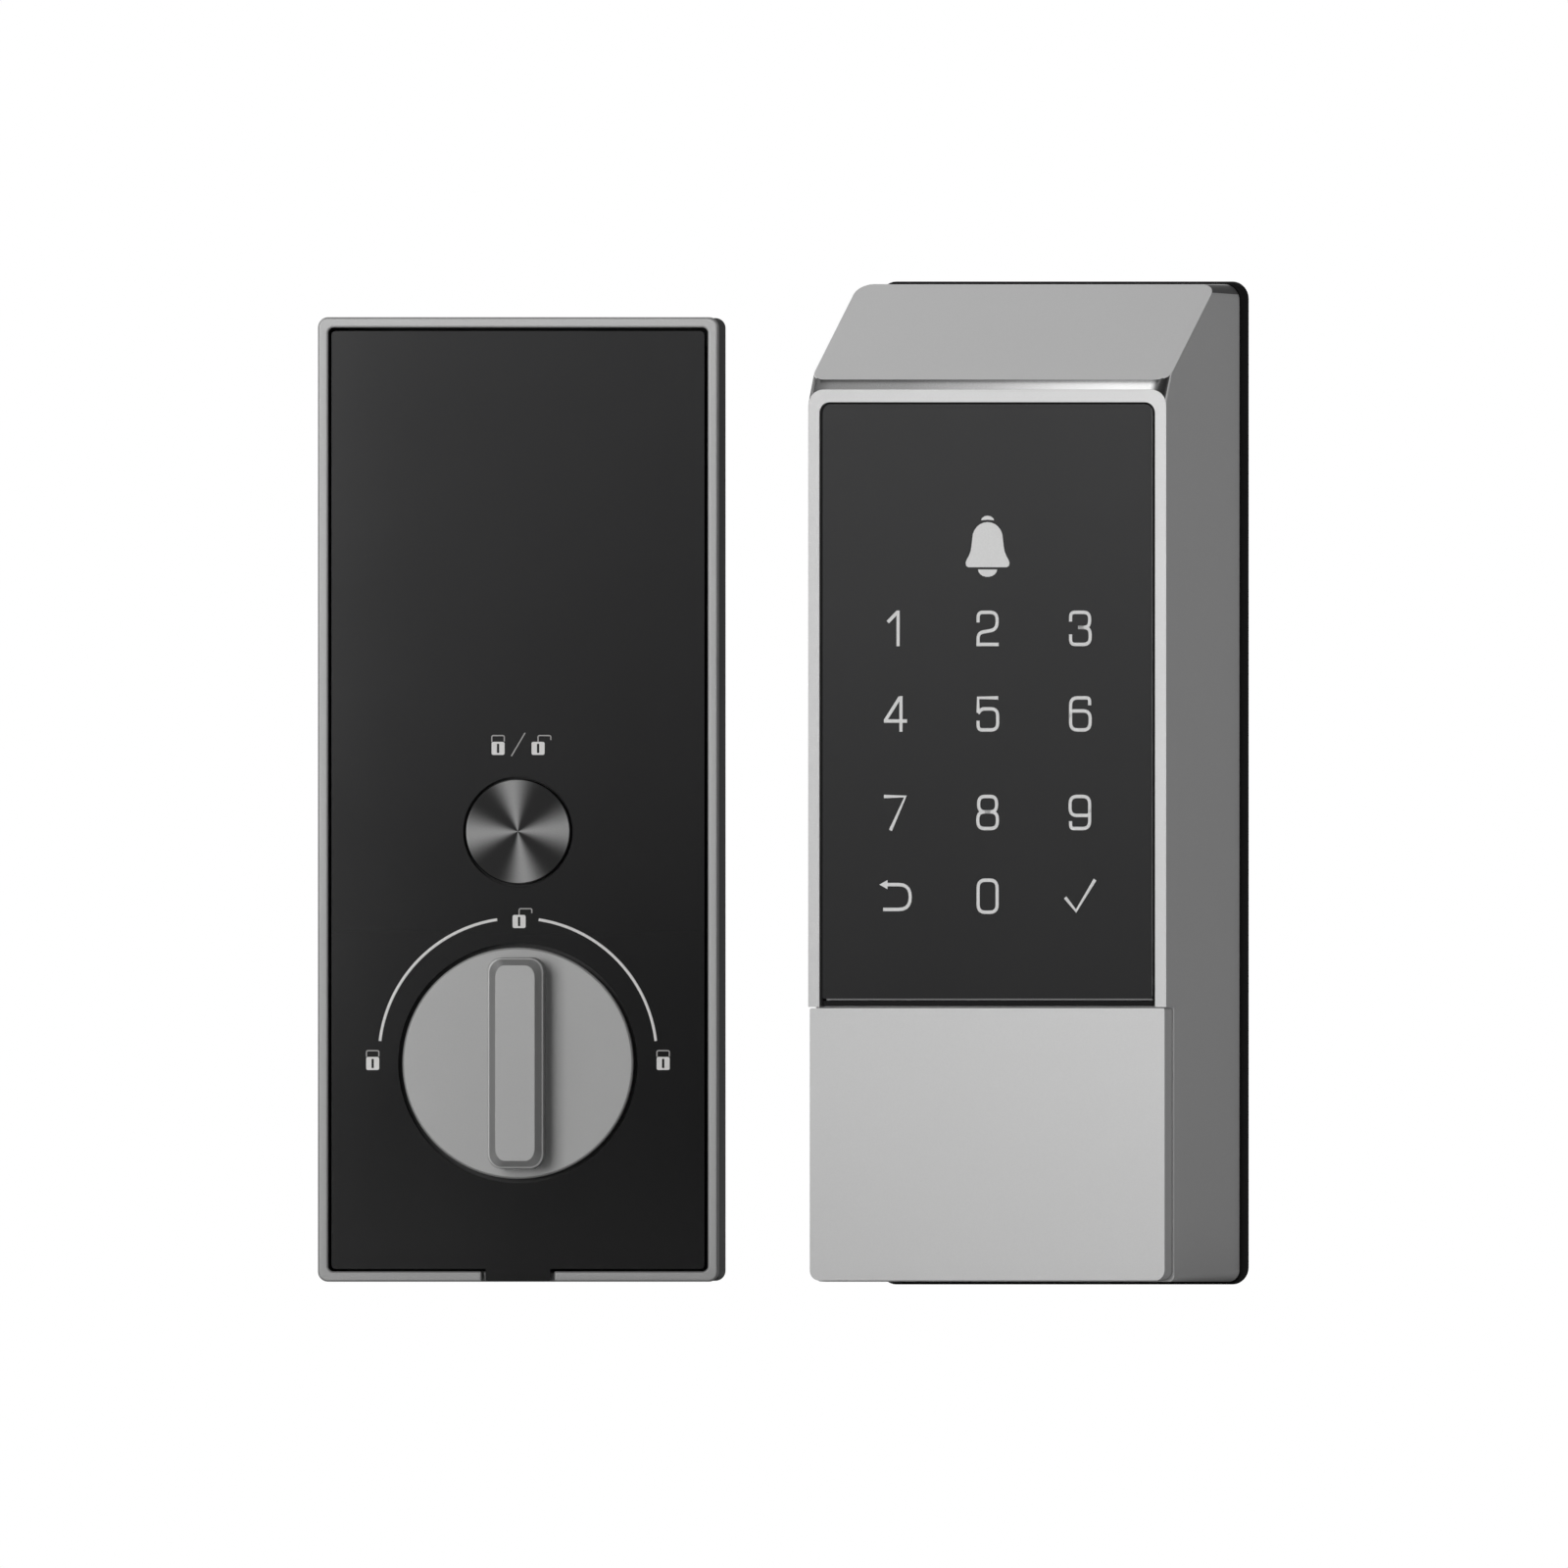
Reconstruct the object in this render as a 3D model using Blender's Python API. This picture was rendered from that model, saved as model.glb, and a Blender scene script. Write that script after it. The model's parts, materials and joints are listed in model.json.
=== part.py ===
"""Keypad smart lock for a door: a keypad unit for the outer face and a battery unit for the inner face.

Dimensions are in millimetres and are turned into metres when a mesh is made. Each unit is drawn in its
own frame: X across, Y from its front into the door, Z up, with the zero of Y on the door's face and the
axis of the deadbolt's bore along Y through X = Z = 0. The keypad unit's frame is the part's own frame.
"""

import math

import bmesh
import bpy

MM = 0.001
GAP = 0.3  # clearance between neighbouring pieces
STEPS = 28  # sides of a round piece
SIDES = (("left", -1), ("right", 1))

# Keypad unit
KEYPAD_WIDTH = 66.0
KEYPAD_BOTTOM = -36.8
KEYPAD_TOP = 131.15
KEYPAD_FRONT = -33.4
KEYPAD_BACK = -3.0
KEYPAD_WALL = 2.0
SLOPE_LOW = (-32.4, 115.1)  # Y and Z of the slanted top's lower edge
SLOPE_HIGH = (-12.6, KEYPAD_TOP)
BEZEL_TOP = 113.35
GLASS_WIDTH = 60.9
GLASS_BOTTOM = 10.85
GLASS_TOP = 110.95
GLASS_FRONT = -33.2
GLASS_BACK = -31.7
POCKET_WIDTH = 61.9
POCKET_TOP = 111.3
LEDGE_FRONT = -31.5
LEDGE_BACK = -29.9
WINDOW_WIDTH = 55.0
WINDOW_BOTTOM = 14.5
WINDOW_TOP = 107.5
COVER_TOP = 9.45
DECK_FRONT = -30.1
DECK_BACK = -28.1
GASKET_LIP = 0.45
GASKET_FRONT = -2.75
BOSS_RADIUS = 2.6
BACK_BOSSES = [(13.0, -30.5, -28.8), (27.4, 12.0, -30.6), (27.0, 124.5, -17.0)]  # X, Z and the front
BACK_SCREWS = [(side * x, z) for x, z, front in BACK_BOSSES for side in (-1, 1)]
CARRIER_SCREWS = [(side * 29.2, z) for side in (-1, 1) for z in (20.0, 102.0)]
CABLE_Z = 24.0  # height of the cable hole over the bore's axis
CABLE_SIZE = (14.0, 9.0)
POST_X = 19.0  # the two through bolts are 38 mm apart
COVER_TRAVEL = 28.0
SLIDE_X = 25.0
SLIDE_Z = (3.5, -2.5)
SLIDE_BOSS = 1.9
SLIDE_SCREWS = [(side * SLIDE_X, z) for side in (-1, 1) for z in SLIDE_Z]

# Battery unit
UNIT_PLACE = (-99.75, 0.0)  # it stands beside the keypad unit
UNIT_TURN = 20.5  # degrees
UNIT_WIDTH = 67.5
UNIT_BOTTOM = -36.8
UNIT_TOP = 125.6
UNIT_FRONT = -24.0
RIM = 1.75
RIM_BACK = -20.5
HOUSING_INSET = 0.15
HOUSING_WALL = 1.6
FLOOR_FRONT = -3.9
FLOOR_BACK = -2.3
PANEL_WIDTH = 62.9
PANEL_BOTTOM = -34.65
PANEL_TOP = 123.25
PANEL_FRONT = -23.85
PANEL_BACK = -22.3
PANEL_SKIRT = -21.1
TAB_WIDTH = 10.9
NOTCH_WIDTH = 12.2
KNOB_RADIUS = 19.5
KNOB_HOLE = 20.2
KNOB_STEPS = 40
BUTTON_Z = 39.0
BUTTON_RADIUS = 8.85
BUTTON_HOLE = 9.25
GRIP = (9.4, 35.5)
GRIP_TOP = (6.7, 33.0)
GRIP_FRONT = -32.1
CHASSIS_FRONT = -20.8
CHASSIS_BACK = -19.2
CELL_RADIUS = 7.25
CELL_LENGTH = 50.5
CELL_TIP = 1.5  # how far the button end stands out
CELL_PITCH = 14.8
CELL_Y = -14.4
BAY = (59.0, 119.5)  # the battery tray's ends
BAY_WALL = 1.5
CONTACT = 0.6
GEAR_FRONT = -18.9
GEAR_BACK = -15.4
MODULE = 0.7
OUTPUT_TEETH = 48
IDLER_TEETH = 30
PINION_TEETH = 12
IDLER_TURN = 128.5  # degrees from +X, the direction from the spindle to the idler
PINION_TURN = 112.0  # the direction from the idler to the pinion
HUB_RADIUS = 8.0  # the knob's own hub, which carries the output gear
HUB_SCREW_REACH = 6.4
HUB_SCREWS = [(HUB_SCREW_REACH * math.cos(a), HUB_SCREW_REACH * math.sin(a)) for a in (0.5, 2.6, 4.7)]
CHASSIS_SCREWS = [(-27.0, -30.5), (27.0, -30.5), (-27.0, 53.5), (27.0, 53.5)]
UNIT_SCREWS = [(-20.0, -22.0), (20.0, -22.0)]
GEARBOX_SCREWS = [(-28.8, 13.8), (-13.0, 44.0)]
BOARD_SCREWS = [(-6.5, 45.5), (27.0, 16.5), (27.5, 45.5)]


def clear_scene():
    for obj in list(bpy.data.objects):
        bpy.data.objects.remove(obj)


def empty(name, place=(0.0, 0.0), turn=0.0):
    obj = bpy.data.objects.new(name, None)
    obj.location = (place[0] * MM, place[1] * MM, 0)
    obj.rotation_euler = (0, 0, math.radians(turn))
    bpy.context.scene.collection.objects.link(obj)
    return obj


def material(name, colour, roughness, metallic=0.0):
    found = bpy.data.materials.new(name)
    found.use_nodes = True
    shader = found.node_tree.nodes["Principled BSDF"]
    shader.inputs["Base Color"].default_value = (*colour, 1)
    shader.inputs["Roughness"].default_value = roughness
    shader.inputs["Metallic"].default_value = metallic
    return found


# Outlines are lists of points, in order, without the closing point.


def circle(radius, x=0.0, z=0.0, steps=STEPS):
    turns = [2 * math.pi * (i + 0.5) / steps for i in range(steps)]
    return [(x + radius * math.cos(a), z + radius * math.sin(a)) for a in turns]


def rectangle(left, right, bottom, top, radius=0.0, steps=2):
    """A rectangle whose corners are rounded by the radius."""
    if not radius:
        return [(left, bottom), (right, bottom), (right, top), (left, top)]
    corners = [
        (right - radius, bottom + radius, -90),
        (right - radius, top - radius, 0),
        (left + radius, top - radius, 90),
        (left + radius, bottom + radius, 180),
    ]
    return [
        (x + radius * math.cos(a), z + radius * math.sin(a))
        for x, z, start in corners
        for a in (math.radians(start + 90 * i / steps) for i in range(steps + 1))
    ]


def centred(width, bottom, top, radius=0.0):
    return rectangle(-width / 2, width / 2, bottom, top, radius)


def gear_outline(teeth, first_tooth):
    """Straight-sided teeth with backlash, one of them centred at the angle first_tooth, in degrees."""
    pitch = teeth * MODULE / 2
    # A tooth's radius and half width in pitches, at its root and at its tip.
    root, tip = (pitch - 1.15 * MODULE, 0.31), (pitch + 0.85 * MODULE, 0.085)
    sides = [root, tip, (tip[0], -tip[1]), (root[0], -root[1])]
    points = []
    for tooth in range(teeth):
        for radius, share in sides:
            turn = math.radians(first_tooth) + 2 * math.pi * (tooth - share) / teeth
            points.append((radius * math.cos(turn), radius * math.sin(turn)))
    return points


# A shape is a function that adds one closed surface to a mesh.


def extruded(outline, start, end, axis="Y"):
    """The outline is in the two other axes, in X, Y, Z order, and runs from start to end along the axis."""

    def place(a, b, level):
        if axis == "X":
            return level, a, b
        return (a, level, b) if axis == "Y" else (a, b, level)

    def build(mesh):
        rings = [[mesh.verts.new(place(a, b, level)) for a, b in outline] for level in (start, end)]
        for ring in rings:
            mesh.faces.new(ring)
        for i in range(len(outline)):
            mesh.faces.new((rings[0][i - 1], rings[0][i], rings[1][i], rings[1][i - 1]))

    return build


def lofted(outlines, levels):
    """Joins outlines with equal numbers of points, one at each level of Y."""

    def build(mesh):
        rings = [[mesh.verts.new((x, y, z)) for x, z in line] for line, y in zip(outlines, levels)]
        mesh.faces.new(rings[0])
        mesh.faces.new(rings[-1])
        for near, far in zip(rings, rings[1:]):
            for i in range(len(near)):
                mesh.faces.new((near[i - 1], near[i], far[i], far[i - 1]))

    return build


def turned(profile, x=0.0, z=0.0, steps=STEPS, axis="Y"):
    """Turns (radius, height) points round the axis. A profile that leaves the axis is closed on itself."""

    def place(radius, height, turn):
        a, b = radius * math.cos(turn), radius * math.sin(turn)
        return (x + a, height, z + b) if axis == "Y" else (x + a, z + b, height)

    def build(mesh):
        rings = []
        for radius, height in profile:
            turns = [2 * math.pi * (i + 0.5) / steps for i in range(steps if radius else 1)]
            rings.append([mesh.verts.new(place(radius, height, turn)) for turn in turns])
        pairs = list(zip(rings, rings[1:]))
        if profile[0][0] and profile[-1][0]:
            pairs.append((rings[-1], rings[0]))
        for low, high in pairs:
            for i in range(steps):
                if len(low) == 1:
                    mesh.faces.new((low[0], high[i - 1], high[i]))
                elif len(high) == 1:
                    mesh.faces.new((high[0], low[i - 1], low[i]))
                else:
                    mesh.faces.new((low[i - 1], low[i], high[i], high[i - 1]))

    return build


def rod(radius, start, end, x=0.0, z=0.0, steps=STEPS, axis="Y"):
    return turned([(0, start), (radius, start), (radius, end), (0, end)], x, z, steps, axis)


def tube(inner, outer, start, end, x=0.0, z=0.0, steps=STEPS, axis="Y"):
    profile = [(inner, start), (outer, start), (outer, end), (inner, end)]
    return turned(profile, x, z, steps, axis)


def coil(wire, radii, heights, turns, x, y):
    """A round wire wound up along Z between two radii and two heights."""
    per_turn, sides = 8, 4

    def build(mesh):
        rings = []
        count = round(turns * per_turn)
        for i in range(count + 1):
            share = i / count
            turn = 2 * math.pi * turns * share
            radius = radii[0] + (radii[1] - radii[0]) * share
            height = heights[0] + (heights[1] - heights[0]) * share
            ring = []
            for side in range(sides):
                lean = 2 * math.pi * side / sides
                reach = radius + wire * math.cos(lean)
                rise = height + wire * math.sin(lean)
                spot = (x + reach * math.cos(turn), y + reach * math.sin(turn), rise)
                ring.append(mesh.verts.new(spot))
            rings.append(ring)
        mesh.faces.new(rings[0])
        mesh.faces.new(rings[-1])
        for near, far in zip(rings, rings[1:]):
            for i in range(sides):
                mesh.faces.new((near[i - 1], near[i], far[i], far[i - 1]))

    return build


def piece(name, unit, finish, *shapes, at=(0.0, 0.0, 0.0)):
    """One object made of the shapes, whose own origin is at the given point of its unit's frame."""
    mesh = bmesh.new()
    for shape in shapes:
        shape(mesh)
    bmesh.ops.translate(mesh, vec=[-value for value in at], verts=mesh.verts)
    bmesh.ops.scale(mesh, vec=(MM, MM, MM), verts=mesh.verts)
    bmesh.ops.recalc_face_normals(mesh, faces=mesh.faces)
    data = bpy.data.meshes.new(name)
    mesh.to_mesh(data)
    mesh.free()
    obj = bpy.data.objects.new(name, data)
    bpy.context.scene.collection.objects.link(obj)
    obj.parent = unit
    obj.location = [value * MM for value in at]
    if finish:
        data.materials.append(finish)
        data.shade_smooth()
        data.set_sharp_from_angle(angle=math.radians(30))
    return obj


def boolean(target, operation, shapes):
    helper = piece(f"{target.name}_{operation.lower()}", target.parent, None, *shapes)
    helper.hide_render = True
    helper.display_type = "WIRE"
    step = target.modifiers.new(operation.title(), "BOOLEAN")
    step.operation = operation
    step.object = helper


def cut(target, *shapes):
    boolean(target, "DIFFERENCE", shapes)


def add(target, *shapes):
    """Each shape is joined by its own union, so that they may also overlap one another."""
    for shape in shapes:
        boolean(target, "UNION", [shape])


def cut_holes(target, radius, start, end, spots, steps=12):
    cut(target, *[rod(radius, start, end, x, z, steps) for x, z in spots])


def screws(name, unit, finish, spots, head, shank, length, seat, head_height):
    """Screws along +Y with a drive recess, each its own object. Their heads sit in front of the seat."""
    profile = [
        (0, seat - 0.5 * head_height),
        (0.45 * head, seat - 0.65 * head_height),
        (0.5 * head, seat - head_height),
        (0.9 * head, seat - head_height),
        (head, seat - 0.8 * head_height),
        (head, seat),
        (shank, seat),
        (shank, seat + length - shank),
        (0, seat + length),
    ]
    for number, (x, z) in enumerate(spots, 1):
        piece(f"{name}_{number}", unit, finish, turned(profile, x, z, 12))


def cable_slot():
    half_wide, half_tall = CABLE_SIZE[0] / 2, CABLE_SIZE[1] / 2
    return rectangle(-half_wide, half_wide, CABLE_Z - half_tall, CABLE_Z + half_tall, 2.0)


def keypad_housing(unit, finish):
    half = KEYPAD_WIDTH / 2
    profile = [
        (KEYPAD_FRONT, KEYPAD_BOTTOM),
        (KEYPAD_FRONT, BEZEL_TOP),
        SLOPE_LOW,
        SLOPE_HIGH,
        (KEYPAD_BACK, KEYPAD_TOP),
        (KEYPAD_BACK, KEYPAD_BOTTOM),
    ]
    housing = piece("exterior_housing", unit, finish, extruded(profile, -half, half, "X"))
    rounding = housing.modifiers.new("Edges", "BEVEL")
    rounding.width = 0.8 * MM
    rounding.segments = 2
    rise = (SLOPE_HIGH[1] - SLOPE_LOW[1]) / (SLOPE_HIGH[0] - SLOPE_LOW[0])
    drop = KEYPAD_WALL * math.hypot(1, rise)  # the slope's wall measured straight down
    ceiling = KEYPAD_TOP - KEYPAD_WALL
    floor = KEYPAD_BOTTOM + KEYPAD_WALL
    back = KEYPAD_BACK + 2
    cavity = [
        (back, floor),
        (DECK_BACK, floor),
        (DECK_BACK, COVER_TOP - 0.5),
        (LEDGE_BACK, COVER_TOP - 0.5),
        (LEDGE_BACK, SLOPE_LOW[1] - drop + rise * (LEDGE_BACK - SLOPE_LOW[0])),
        (SLOPE_LOW[0] + (ceiling + drop - SLOPE_LOW[1]) / rise, ceiling),
        (back, ceiling),
    ]
    inside = half - KEYPAD_WALL
    front = KEYPAD_FRONT - 2
    cut(housing, extruded(cavity, -inside, inside, "X"))
    cover_bay = rectangle(front, DECK_FRONT, KEYPAD_BOTTOM - 2, COVER_TOP)
    cut(housing, extruded(cover_bay, -half - 2, half + 2, "X"))
    cut(housing, extruded(centred(POCKET_WIDTH, COVER_TOP - 1, POCKET_TOP, 0.9), front, LEDGE_FRONT))
    cut(housing, extruded(centred(WINDOW_WIDTH, WINDOW_BOTTOM, WINDOW_TOP), front, LEDGE_BACK + 1))
    reach = SLIDE_BOSS + GAP
    low, high = SLIDE_Z[1] - COVER_TRAVEL - reach - 0.1, SLIDE_Z[0] + reach
    for x in (-SLIDE_X, SLIDE_X):
        cut(housing, extruded(rectangle(x - reach, x + reach, low, high), DECK_FRONT - 1, DECK_BACK + 1))
    cut_holes(housing, 1.2, -31.0, LEDGE_BACK + 1, CARRIER_SCREWS, 8)
    cut_holes(housing, 8.2, DECK_FRONT - 1, DECK_BACK + 1, [(0, 0)], STEPS)
    for x, z, boss_front in BACK_BOSSES:
        add(housing, *[rod(BOSS_RADIUS, boss_front, -5.1, side * x, z, 12) for side in (-1, 1)])
    cut_holes(housing, 1.5, -13.0, 0.0, BACK_SCREWS)


def keypad_stack(unit, finish):
    """The glass, and what lies behind it."""
    glass = centred(GLASS_WIDTH, GLASS_BOTTOM, GLASS_TOP, 1.0)
    piece("touch_panel", unit, finish["black_glass"], extruded(glass, GLASS_FRONT, GLASS_BACK))
    bumper = centred(GLASS_WIDTH, COVER_TOP + 0.15, GLASS_BOTTOM - GAP)
    piece("cover_bumper", unit, finish["rubber"], extruded(bumper, -33.0, LEDGE_FRONT - GAP))
    sheet = centred(48.0, WINDOW_BOTTOM + 0.5, WINDOW_TOP - 0.5, 1.0)
    piece("touch_light_guide", unit, finish["white_plastic"], extruded(sheet, -31.4, -30.7))
    board = piece("touch_circuit_board", unit, finish["board"], extruded(sheet, -30.4, -29.2))
    cut_holes(board, 1.2, -32, -28, [(x, z) for x in (-21, 21) for z in (18.5, 103.5)], 8)
    outline = centred(61.2, 15.0, 112.0, 1.0)
    carrier = piece("board_carrier", unit, finish["black_plastic"], extruded(outline, -29.6, -27.5))
    cut(carrier, extruded(centred(50.0, 14.0, WINDOW_TOP + 0.5), -31.0, -28.9))
    cut(carrier, *[extruded(centred(36.0, low, low + 18.0, 2.0), -31.0, -26.0) for low in (33.0, 73.0)])
    cut_holes(carrier, 1.2, -31, -26, CARRIER_SCREWS, 8)
    speaker = [(0, -27.2), (10, -27.2), (10, -24.4), (7, -24.4), (6, -23.2), (0, -23.2)]
    piece("speaker", unit, finish["black_plastic"], turned(speaker, 0, 62, 24))
    body = extruded(centred(10.0, 21.5, 27.5), -27.2, -20.2)
    socket = piece("exterior_cable_socket", unit, finish["white_plastic"], body)
    cut(socket, extruded(centred(7.6, 22.7, 26.3), -25.0, -19.0))


def keypad_back(unit, finish):
    inset = KEYPAD_WALL + GAP
    outline = centred(KEYPAD_WIDTH - 2 * inset, KEYPAD_BOTTOM + inset, KEYPAD_TOP - inset)
    plate = piece("exterior_back_plate", unit, finish["black_plastic"], extruded(outline, -4.8, -3.1))
    cut(plate, rod(11.0, -6, -2), extruded(cable_slot(), -6, -2))
    cut_holes(plate, 3.8, -6, -2, [(-POST_X, 0), (POST_X, 0)], 20)
    cut_holes(plate, 1.5, -6, -2, BACK_SCREWS)
    cut_holes(plate, 3.0, -3.9, -2, BACK_SCREWS)
    post = [(0, -9), (5, -9), (5, -5.1), (3.5, -5.1), (3.5, 12), (2.1, 12), (2.1, -4), (0, -4)]
    for side, x in SIDES:
        piece(f"threaded_post_{side}", unit, finish["steel"], turned(post, x * POST_X, 0, 20))
    width = KEYPAD_WIDTH + 2 * GASKET_LIP
    outline = centred(width, KEYPAD_BOTTOM - GASKET_LIP, KEYPAD_TOP + GASKET_LIP, 2.0)
    gasket = piece("weather_gasket", unit, finish["rubber"], extruded(outline, GASKET_FRONT, 0.0))
    cut(gasket, rod(25.5, -5, 2))
    cut(gasket, extruded(centred(44.0, 36.0, 118.0, 4.0), -5, 2))
    cut(gasket, extruded(centred(20.0, 15.0, 40.0), -5, 2))


def key_cylinder(unit, finish):
    collar = [(0, -31.5), (8.8, -31.5), (9.1, -31.2), (9.1, -30.4), (7.9, -30.4), (7.9, -9.0), (0, -9.0)]
    body = piece("key_cylinder_body", unit, finish["brass"], turned(collar))
    add(body, extruded(rectangle(-4.3, 4.3, -16.5, -2.0), -27.8, -9.5))
    cut(body, rod(6.65, -33, -8))
    groove = [(5.0, -8.7), (5.0, -7.7)]
    core = [(0, -31.7), (6.35, -31.7), (6.35, -8.7), *groove, (6.0, -7.7), (6.0, -6.9), (0, -6.9)]
    plug = piece("key_plug", unit, finish["brass"], turned(core))
    cut(plug, extruded(rectangle(-0.6, 0.6, -3.8, 4.2), -33, -11))
    clip = piece("plug_clip", unit, finish["steel"], tube(5.3, 8.2, -8.5, -7.9))
    cut(clip, extruded(rectangle(-3.0, 3.0, -12.0, 0.0), -10, -6))
    tail = piece("tailpiece", unit, finish["steel"], rod(5.6, -6.6, -5.2, steps=24))
    add(tail, extruded(rectangle(-1.2, 1.2, -3.8, 3.8), -5.6, 50.0))


def key_cover(unit, finish):
    half, wall = 32.7, 1.4
    low, high, back = KEYPAD_BOTTOM + 0.2, COVER_TOP - 0.2, -30.4
    shell = centred(2 * half, low, high, 1.2)
    cover = piece("key_cover", unit, finish["silver_paint"], extruded(shell, KEYPAD_FRONT, back))
    cut(cover, extruded(rectangle(wall - half, half - wall, low + wall, high + 5), -32.0, back + 1))
    add(cover, *[rod(SLIDE_BOSS, -32.4, -28.0, x, z, 12) for x, z in SLIDE_SCREWS])
    cut_holes(cover, 1.05, -30.6, -26.0, SLIDE_SCREWS, 8)
    low, high = SLIDE_Z[1] - 3.2, SLIDE_Z[0] + 2.7
    for side, x in SIDES:
        strip = extruded(rectangle(x * SLIDE_X - 3.2, x * SLIDE_X + 3.2, low, high, 0.8), -27.7, -26.3)
        slide = piece(f"cover_slide_{side}", unit, finish["white_plastic"], strip)
        cut_holes(slide, 1.05, -29, -25, [(x * SLIDE_X, z) for z in SLIDE_Z], 8)


def mounting_plate(unit, finish):
    outline = centred(56.0, -31.0, 117.0, 3.0)
    plate = piece("mounting_plate", unit, finish["steel"], extruded(outline, -1.9, 0.0))
    cut(plate, rod(9.0, -3, 1), extruded(cable_slot(), -3, 1))
    cut_holes(plate, 2.8, -3, 1, [(-POST_X, 0), (POST_X, 0)], 16)
    cut_holes(plate, 1.8, -3, 1, UNIT_SCREWS)
    head = [(0, -3.6), (2.0, -3.9), (2.2, -4.5), (4.2, -4.5), (4.6, -4.0), (4.6, -2.2)]
    bolt = [*head, (2.4, -2.2), (2.4, 26), (0, 26)]
    for side, x in SIDES:
        piece(f"through_bolt_{side}", unit, finish["steel"], turned(bolt, x * POST_X, 0, 16))


def battery_housing(unit, finish):
    inset = HOUSING_INSET
    wall = inset + HOUSING_WALL
    ring = centred(UNIT_WIDTH, UNIT_BOTTOM, UNIT_TOP, 2.0)
    frame = piece("interior_frame", unit, finish["silver_paint"], extruded(ring, UNIT_FRONT, RIM_BACK))
    opening = centred(UNIT_WIDTH - 2 * RIM, UNIT_BOTTOM + RIM, UNIT_TOP - RIM, 1.0)
    cut(frame, extruded(opening, UNIT_FRONT - 1, RIM_BACK + 1))
    cut(frame, extruded(centred(NOTCH_WIDTH, UNIT_BOTTOM - 1, UNIT_BOTTOM + 3), UNIT_FRONT - 1, -21.6))
    shell = centred(UNIT_WIDTH - 2 * inset, UNIT_BOTTOM + inset, UNIT_TOP - inset, 2.0)
    solid = extruded(shell, RIM_BACK + 0.25, -0.4)
    housing = piece("interior_housing", unit, finish["black_plastic"], solid)
    inside = centred(UNIT_WIDTH - 2 * wall, UNIT_BOTTOM + wall, UNIT_TOP - wall, 0.8)
    cut(housing, extruded(inside, UNIT_FRONT, FLOOR_FRONT))
    cut(housing, extruded(inside, FLOOR_BACK, 2.0))
    add(housing, *[rod(3.0, CHASSIS_BACK + GAP, FLOOR_FRONT + 0.6, x, z, 12) for x, z in CHASSIS_SCREWS])
    add(housing, *[rod(2.6, -13.7, FLOOR_FRONT + 0.6, x, z, 12) for x, z in GEARBOX_SCREWS])
    add(housing, *[rod(2.6, -13.0, FLOOR_FRONT + 0.6, x, z, 12) for x, z in BOARD_SCREWS])
    cut(housing, rod(8.0, -6, -1), extruded(cable_slot(), -6, -1))
    cut_holes(housing, 5.4, -6, -1, [(-POST_X, 0), (POST_X, 0)], 16)
    cut_holes(housing, 1.4, -22, -7, CHASSIS_SCREWS + GEARBOX_SCREWS + BOARD_SCREWS, 8)
    cut_holes(housing, 1.8, -6, -1, UNIT_SCREWS)
    screws("unit_screw", unit, finish["steel"], UNIT_SCREWS, 3.2, 1.45, 4.0, -4.2, 1.3)


def front_panel(unit, finish):
    outline = centred(PANEL_WIDTH, PANEL_BOTTOM, PANEL_TOP, 0.7)
    panel = piece("front_panel", unit, finish["black_glass"], extruded(outline, PANEL_FRONT, PANEL_SKIRT))
    inside = centred(PANEL_WIDTH - 2.4, PANEL_BOTTOM + 1.2, PANEL_TOP - 1.2)
    cut(panel, extruded(inside, PANEL_BACK, -19.0))
    add(panel, extruded(centred(TAB_WIDTH, UNIT_BOTTOM + 0.05, PANEL_BOTTOM + 0.6), PANEL_FRONT, -21.9))
    cut(panel, rod(KNOB_HOLE, PANEL_FRONT - 1, PANEL_BACK + 1, steps=KNOB_STEPS))
    cut(panel, rod(BUTTON_HOLE, PANEL_FRONT - 1, PANEL_BACK + 1, 0, BUTTON_Z))


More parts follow.
